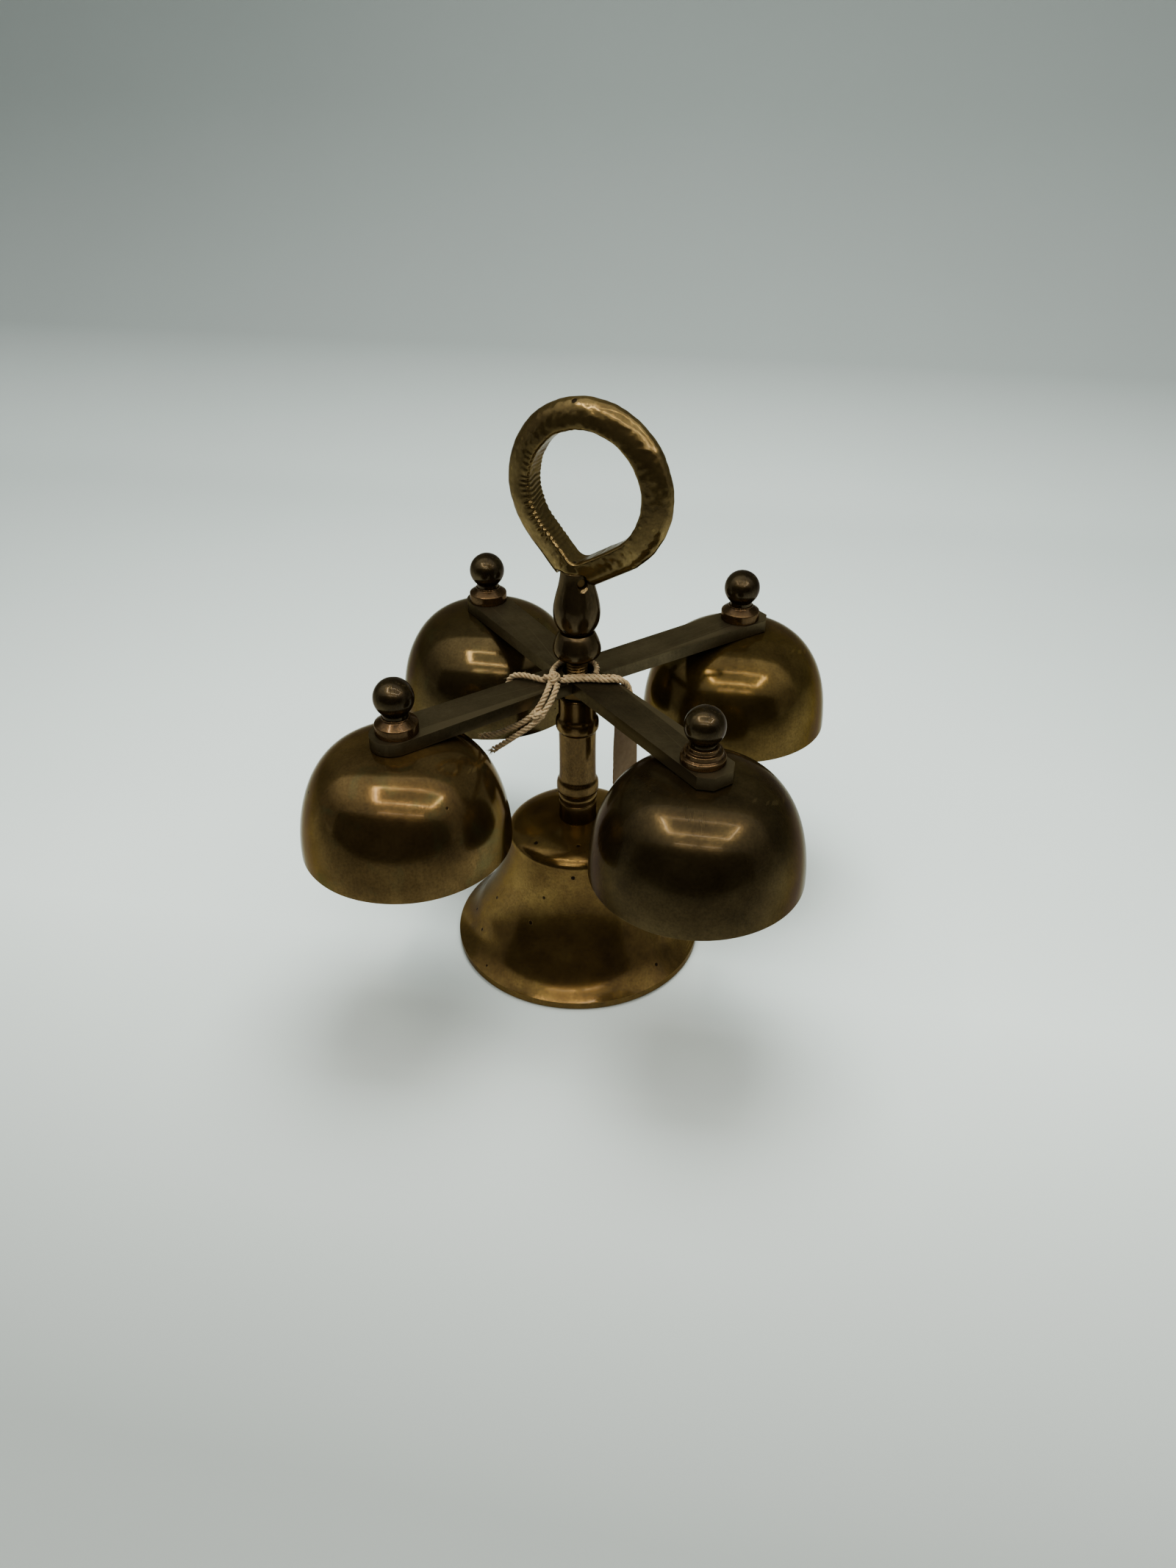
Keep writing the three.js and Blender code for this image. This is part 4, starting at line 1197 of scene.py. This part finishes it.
# ---------------------------------------------------------------- the object
def make_object():
    golden = dict(pale=(0.20, 0.13, 0.065), mid=(0.11, 0.068, 0.0338), dark=(0.045, 0.027, 0.0156))
    brown = dict(pale=(0.21, 0.139, 0.059), mid=(0.125, 0.078, 0.033), dark=(0.05, 0.031, 0.015))
    dome_looks = {
        "front_left": dict(pale=(0.198, 0.132, 0.057), mid=(0.135, 0.087, 0.036), dark=(0.073, 0.046, 0.021),
                           rough=0.15, coat=0.15, tarnish=0.4, green=0.35),
        "front_right": dict(pale=(0.112, 0.082, 0.04), mid=(0.079, 0.056, 0.027), dark=(0.038, 0.027, 0.014),
                            rough=0.22, coat=0.12, tarnish=0.55, brush=0.07),
        "back_right": dict(pale=(0.183, 0.125, 0.048), mid=(0.122, 0.081, 0.03), dark=(0.056, 0.037, 0.015),
                           rough=0.16, coat=0.12, tarnish=0.5),
        "back_left": dict(pale=(0.143, 0.103, 0.048), mid=(0.099, 0.069, 0.031), dark=(0.048, 0.032, 0.016),
                          rough=0.16, coat=0.12, tarnish=0.45, green=0.25),
    }
    dull = brass("rod_brass_aged", 11, rough=0.36, coat=0.05, brush=0.3, around=30, along=900, **brown)
    turned = brass("turned_brass_aged", 21, rough=0.24, coat=0.2, brush=0.3, around=12, along=700, **brown)
    bead = brass("turned_brass_worn", 24, pale=(0.19, 0.137, 0.0676), mid=(0.095, 0.066, 0.0338),
                 dark=(0.032, 0.021, 0.0117), rough=0.22, coat=0.25, brush=0.25, tarnish=0.6, around=12,
                 along=500)
    collar = brass("collar_brass", 27, rough=0.24, coat=0.2, brush=0.3, around=10, along=900, **golden)
    ball = brass("ball_brass", 31, pale=(0.107, 0.079, 0.039), mid=(0.061, 0.043, 0.021),
                 dark=(0.024, 0.016, 0.01), rough=0.26, coat=0.3, brush=0.2, tarnish=0.6, around=20, along=400)
    # edge=0.7 makes the plate's bevelled edges lighter than the other pieces' edges: partly wear and partly a
    # painted highlight along the bevels.
    plate = brass("plate_bronze_aged", 41, pale=(0.135, 0.108, 0.066), mid=(0.088, 0.069, 0.041),
                  dark=(0.05, 0.039, 0.024), rough=0.38, coat=0.03, brush=0.08, spots=0.3, edge=0.7, cast=0.12)
    base = brass("base_brass_aged", 51, pale=(0.244, 0.163, 0.06), mid=(0.162, 0.101, 0.038),
                 dark=(0.07, 0.043, 0.022), rough=0.2, coat=0.15, metallic=0.8, brush=0.15, spots=0.5, tarnish=0.5,
                 around=14, along=260)
    ring = brass("cast_brass_aged", 61, pale=(0.235, 0.168, 0.0728), mid=(0.15, 0.104, 0.0442),
                 dark=(0.075, 0.05, 0.0234), rough=0.22, coat=0.25, brush=0.06, spots=0.45, tarnish=0.45,
                 cast=0.22)
    make_base(base, dull)
    make_rod(dull)
    make_clapper("centre", BASE_EYE_Z, 15, 7, dull)
    make_column(turned, bead, dull)
    make_ring(ring)
    make_plate(plate)
    for seed, name in enumerate(ARMS):
        look = dict(brush=0.14, spots=0.26, around=75, along=90)
        look.update(dome_looks[name])
        make_dome(name, brass(f"bell_brass_{name}", 71 + seed, **look))
        make_arm_parts(name, collar, ball, dull)
    tag = make_tag()
    make_twine(fibre_material("twine_fibre", (0.42, 0.315, 0.185), (0.17, 0.118, 0.064), 3), tag)


# ---------------------------------------------------------------- stage
def stage_material():
    """Pale matt card, with painted shade darkening it up the back wall and a painted shadow darkening the floor
    towards the open front.
    """
    material, nodes, links, out = new_material("stage_grey")
    place = coordinates(nodes, links, (1, 1, 1), 0)
    cloud = noise_at(nodes, links, place, 3, 4)
    split = nodes.new("ShaderNodeSeparateXYZ")
    links.new(nodes.new("ShaderNodeTexCoord").outputs["Object"], split.inputs[0])
    # Painted shade: the back wall is darkened as it rises, where less light reaches it.
    up = ramp(nodes, links, arithmetic(nodes, links, "MULTIPLY", split.outputs[2], 2.5),
              [(0.01, 1.0), (0.16, WALL_SHADE_LOW), (0.75, WALL_SHADE_HIGH)])
    # Painted shadow: the floor is darkened towards the open front, as if shaded from that side.
    along = arithmetic(nodes, links, "ADD", split.outputs[1], 1.0)
    front = ramp(nodes, links, along, [(0.1, 1.0), (0.45, FRONT_FLOOR_SHADOW), (0.8, FRONT_FLOOR_SHADOW), (0.98, 1.0)])
    colour = ramp(nodes, links, cloud, [(0.3, (0.66, 0.705, 0.68)), (0.7, (0.69, 0.735, 0.71))])
    colour = mix_colour(nodes, links, 1.0, colour, up, "MULTIPLY")
    colour = mix_colour(nodes, links, 1.0, colour, front, "MULTIPLY")
    shader = nodes.new("ShaderNodeBsdfPrincipled")
    links.new(colour, shader.inputs["Base Color"])
    shader.inputs["Roughness"].default_value = 0.7
    links.new(shader.outputs[0], out.inputs[0])
    return material


# How dark the painted shade makes the back wall, low and high up.
WALL_SHADE_LOW = 0.56
WALL_SHADE_HIGH = 0.47
# How dark the painted shadow makes the floor towards the open front.
FRONT_FLOOR_SHADOW = 0.46
COVE_Y = 0.40  # where the floor starts to rise behind the object
COVE_R = 0.22
STAGE_HALF = 6.0
WALL_TOP = 2.2


def make_stage():
    profile = [(-STAGE_HALF, 0), (COVE_Y, 0)]
    for i in range(1, 25):
        a = i / 24 * math.pi / 2
        profile.append((COVE_Y + COVE_R * math.sin(a), COVE_R * (1 - math.cos(a))))
    profile.append((COVE_Y + COVE_R, WALL_TOP))
    vertices = []
    for y, z in profile:
        vertices += [(-STAGE_HALF / MM, y / MM, z / MM), (STAGE_HALF / MM, y / MM, z / MM)]
    faces = [(2 * i, 2 * i + 1, 2 * i + 3, 2 * i + 2) for i in range(len(profile) - 1)]
    floor = mesh_object("stage_floor", vertices, faces, (0, 0, -0.2), 3)
    floor.data.materials.append(stage_material())


def area_light(name, size, at, to, power, colour=(1, 1, 1), spread=math.pi):
    data = bpy.data.lights.new(name, "AREA")
    data.shape = "RECTANGLE"
    data.size, data.size_y = size
    data.energy = power
    data.color = colour
    data.spread = spread
    light = bpy.data.objects.new(name, data)
    scene.collection.objects.link(light)
    light.location = at
    light.rotation_euler = (Vector(to) - Vector(at)).to_track_quat("-Z", "Y").to_euler()
    light.visible_camera = False
    return light


LED_Z = 0.42
LED_X = (-0.165, 0.305)
LED_Y = (-0.27, -0.09)
LED_WIDTH = 0.006
LED_SIDE_WIDTH = 0.011
LED_OUTER_Y = -0.43
LED_OUTER_PARTS = ((-0.15, 0.07), (0.11, 0.31))
LED_RADIANCE = 36.0
CEILING_POWER = 3.0
WORLD_PALE = (0.62, 0.65, 0.64)
WORLD_STRENGTH = 0.38
WORLD_OVERHEAD = 4.3
CARD_Y = -0.55
CARD_HALF_X = 1.1
CARD_TOP = 0.46


def led(name, x_range, y_range):
    """A strip of the light rectangle, facing down, of the one radiance."""
    width = x_range[1] - x_range[0]
    depth = y_range[1] - y_range[0]
    at = ((x_range[0] + x_range[1]) / 2, (y_range[0] + y_range[1]) / 2, LED_Z)
    area_light(name, (width, depth), at, (at[0], at[1], 0), LED_RADIANCE * math.pi * width * depth,
               (1.0, 0.93, 0.82))


def make_lights():
    """A photo box: a rectangle of light strips over its front, a soft ceiling, pale sides and a dark opening."""
    half = LED_WIDTH / 2
    side = LED_SIDE_WIDTH / 2
    led("led_near", LED_X, (LED_Y[0] - half, LED_Y[0] + half))
    led("led_far", LED_X, (LED_Y[1] - half / 2, LED_Y[1] + half / 2))
    led("led_left", (LED_X[0] - side, LED_X[0] + side), LED_Y)
    led("led_right", (LED_X[1] - side, LED_X[1] + side), LED_Y)
    for k, part in enumerate(LED_OUTER_PARTS):
        led(f"led_outer_{k}", part, (LED_OUTER_Y - half, LED_OUTER_Y + half))
    ceiling = area_light("ceiling", (0.32, 0.26), (0.0, 0.09, 0.55), (0.0, 0.05, 0), CEILING_POWER,
                         (0.95, 1.0, 0.98))
    ceiling.visible_glossy = False
    world = scene.world or bpy.data.worlds.new("world")
    scene.world = world
    world.use_nodes = True
    nodes = world.node_tree.nodes
    links = world.node_tree.links
    nodes.clear()
    out = nodes.new("ShaderNodeOutputWorld")
    ground = nodes.new("ShaderNodeBackground")
    source = nodes.new("ShaderNodeTexCoord")
    split = nodes.new("ShaderNodeSeparateXYZ")
    links.new(source.outputs["Generated"], split.inputs[0])
    overhead = ramp(nodes, links, split.outputs[2], [(0.25, 1.0), (0.8, WORLD_OVERHEAD)])
    links.new(mix_colour(nodes, links, 1.0, WORLD_PALE, overhead, "MULTIPLY"), ground.inputs[0])
    ground.inputs[1].default_value = WORLD_STRENGTH
    links.new(ground.outputs[0], out.inputs[0])


def make_opening():
    """The dark front of the photo box, seen only in reflections."""
    low = (-CARD_HALF_X / MM, CARD_Y / MM, 0)
    high = (CARD_HALF_X / MM, CARD_Y / MM, CARD_TOP / MM)
    card = mesh_object("stage_opening", [low, (high[0], low[1], 0), high, (low[0], low[1], high[2])],
                       [(0, 1, 2, 3)])
    material, nodes, links, out = new_material("stage_dark")
    shader = nodes.new("ShaderNodeBsdfDiffuse")
    shader.inputs[0].default_value = (0.05, 0.05, 0.05, 1)
    links.new(shader.outputs[0], out.inputs[0])
    card.data.materials.append(material)
    card.visible_camera = False
    card.visible_diffuse = False
    card.visible_shadow = False
    card.visible_transmission = False


make_object()
make_stage()
make_opening()
make_lights()
scene.view_settings.look = "AgX - Medium High Contrast"
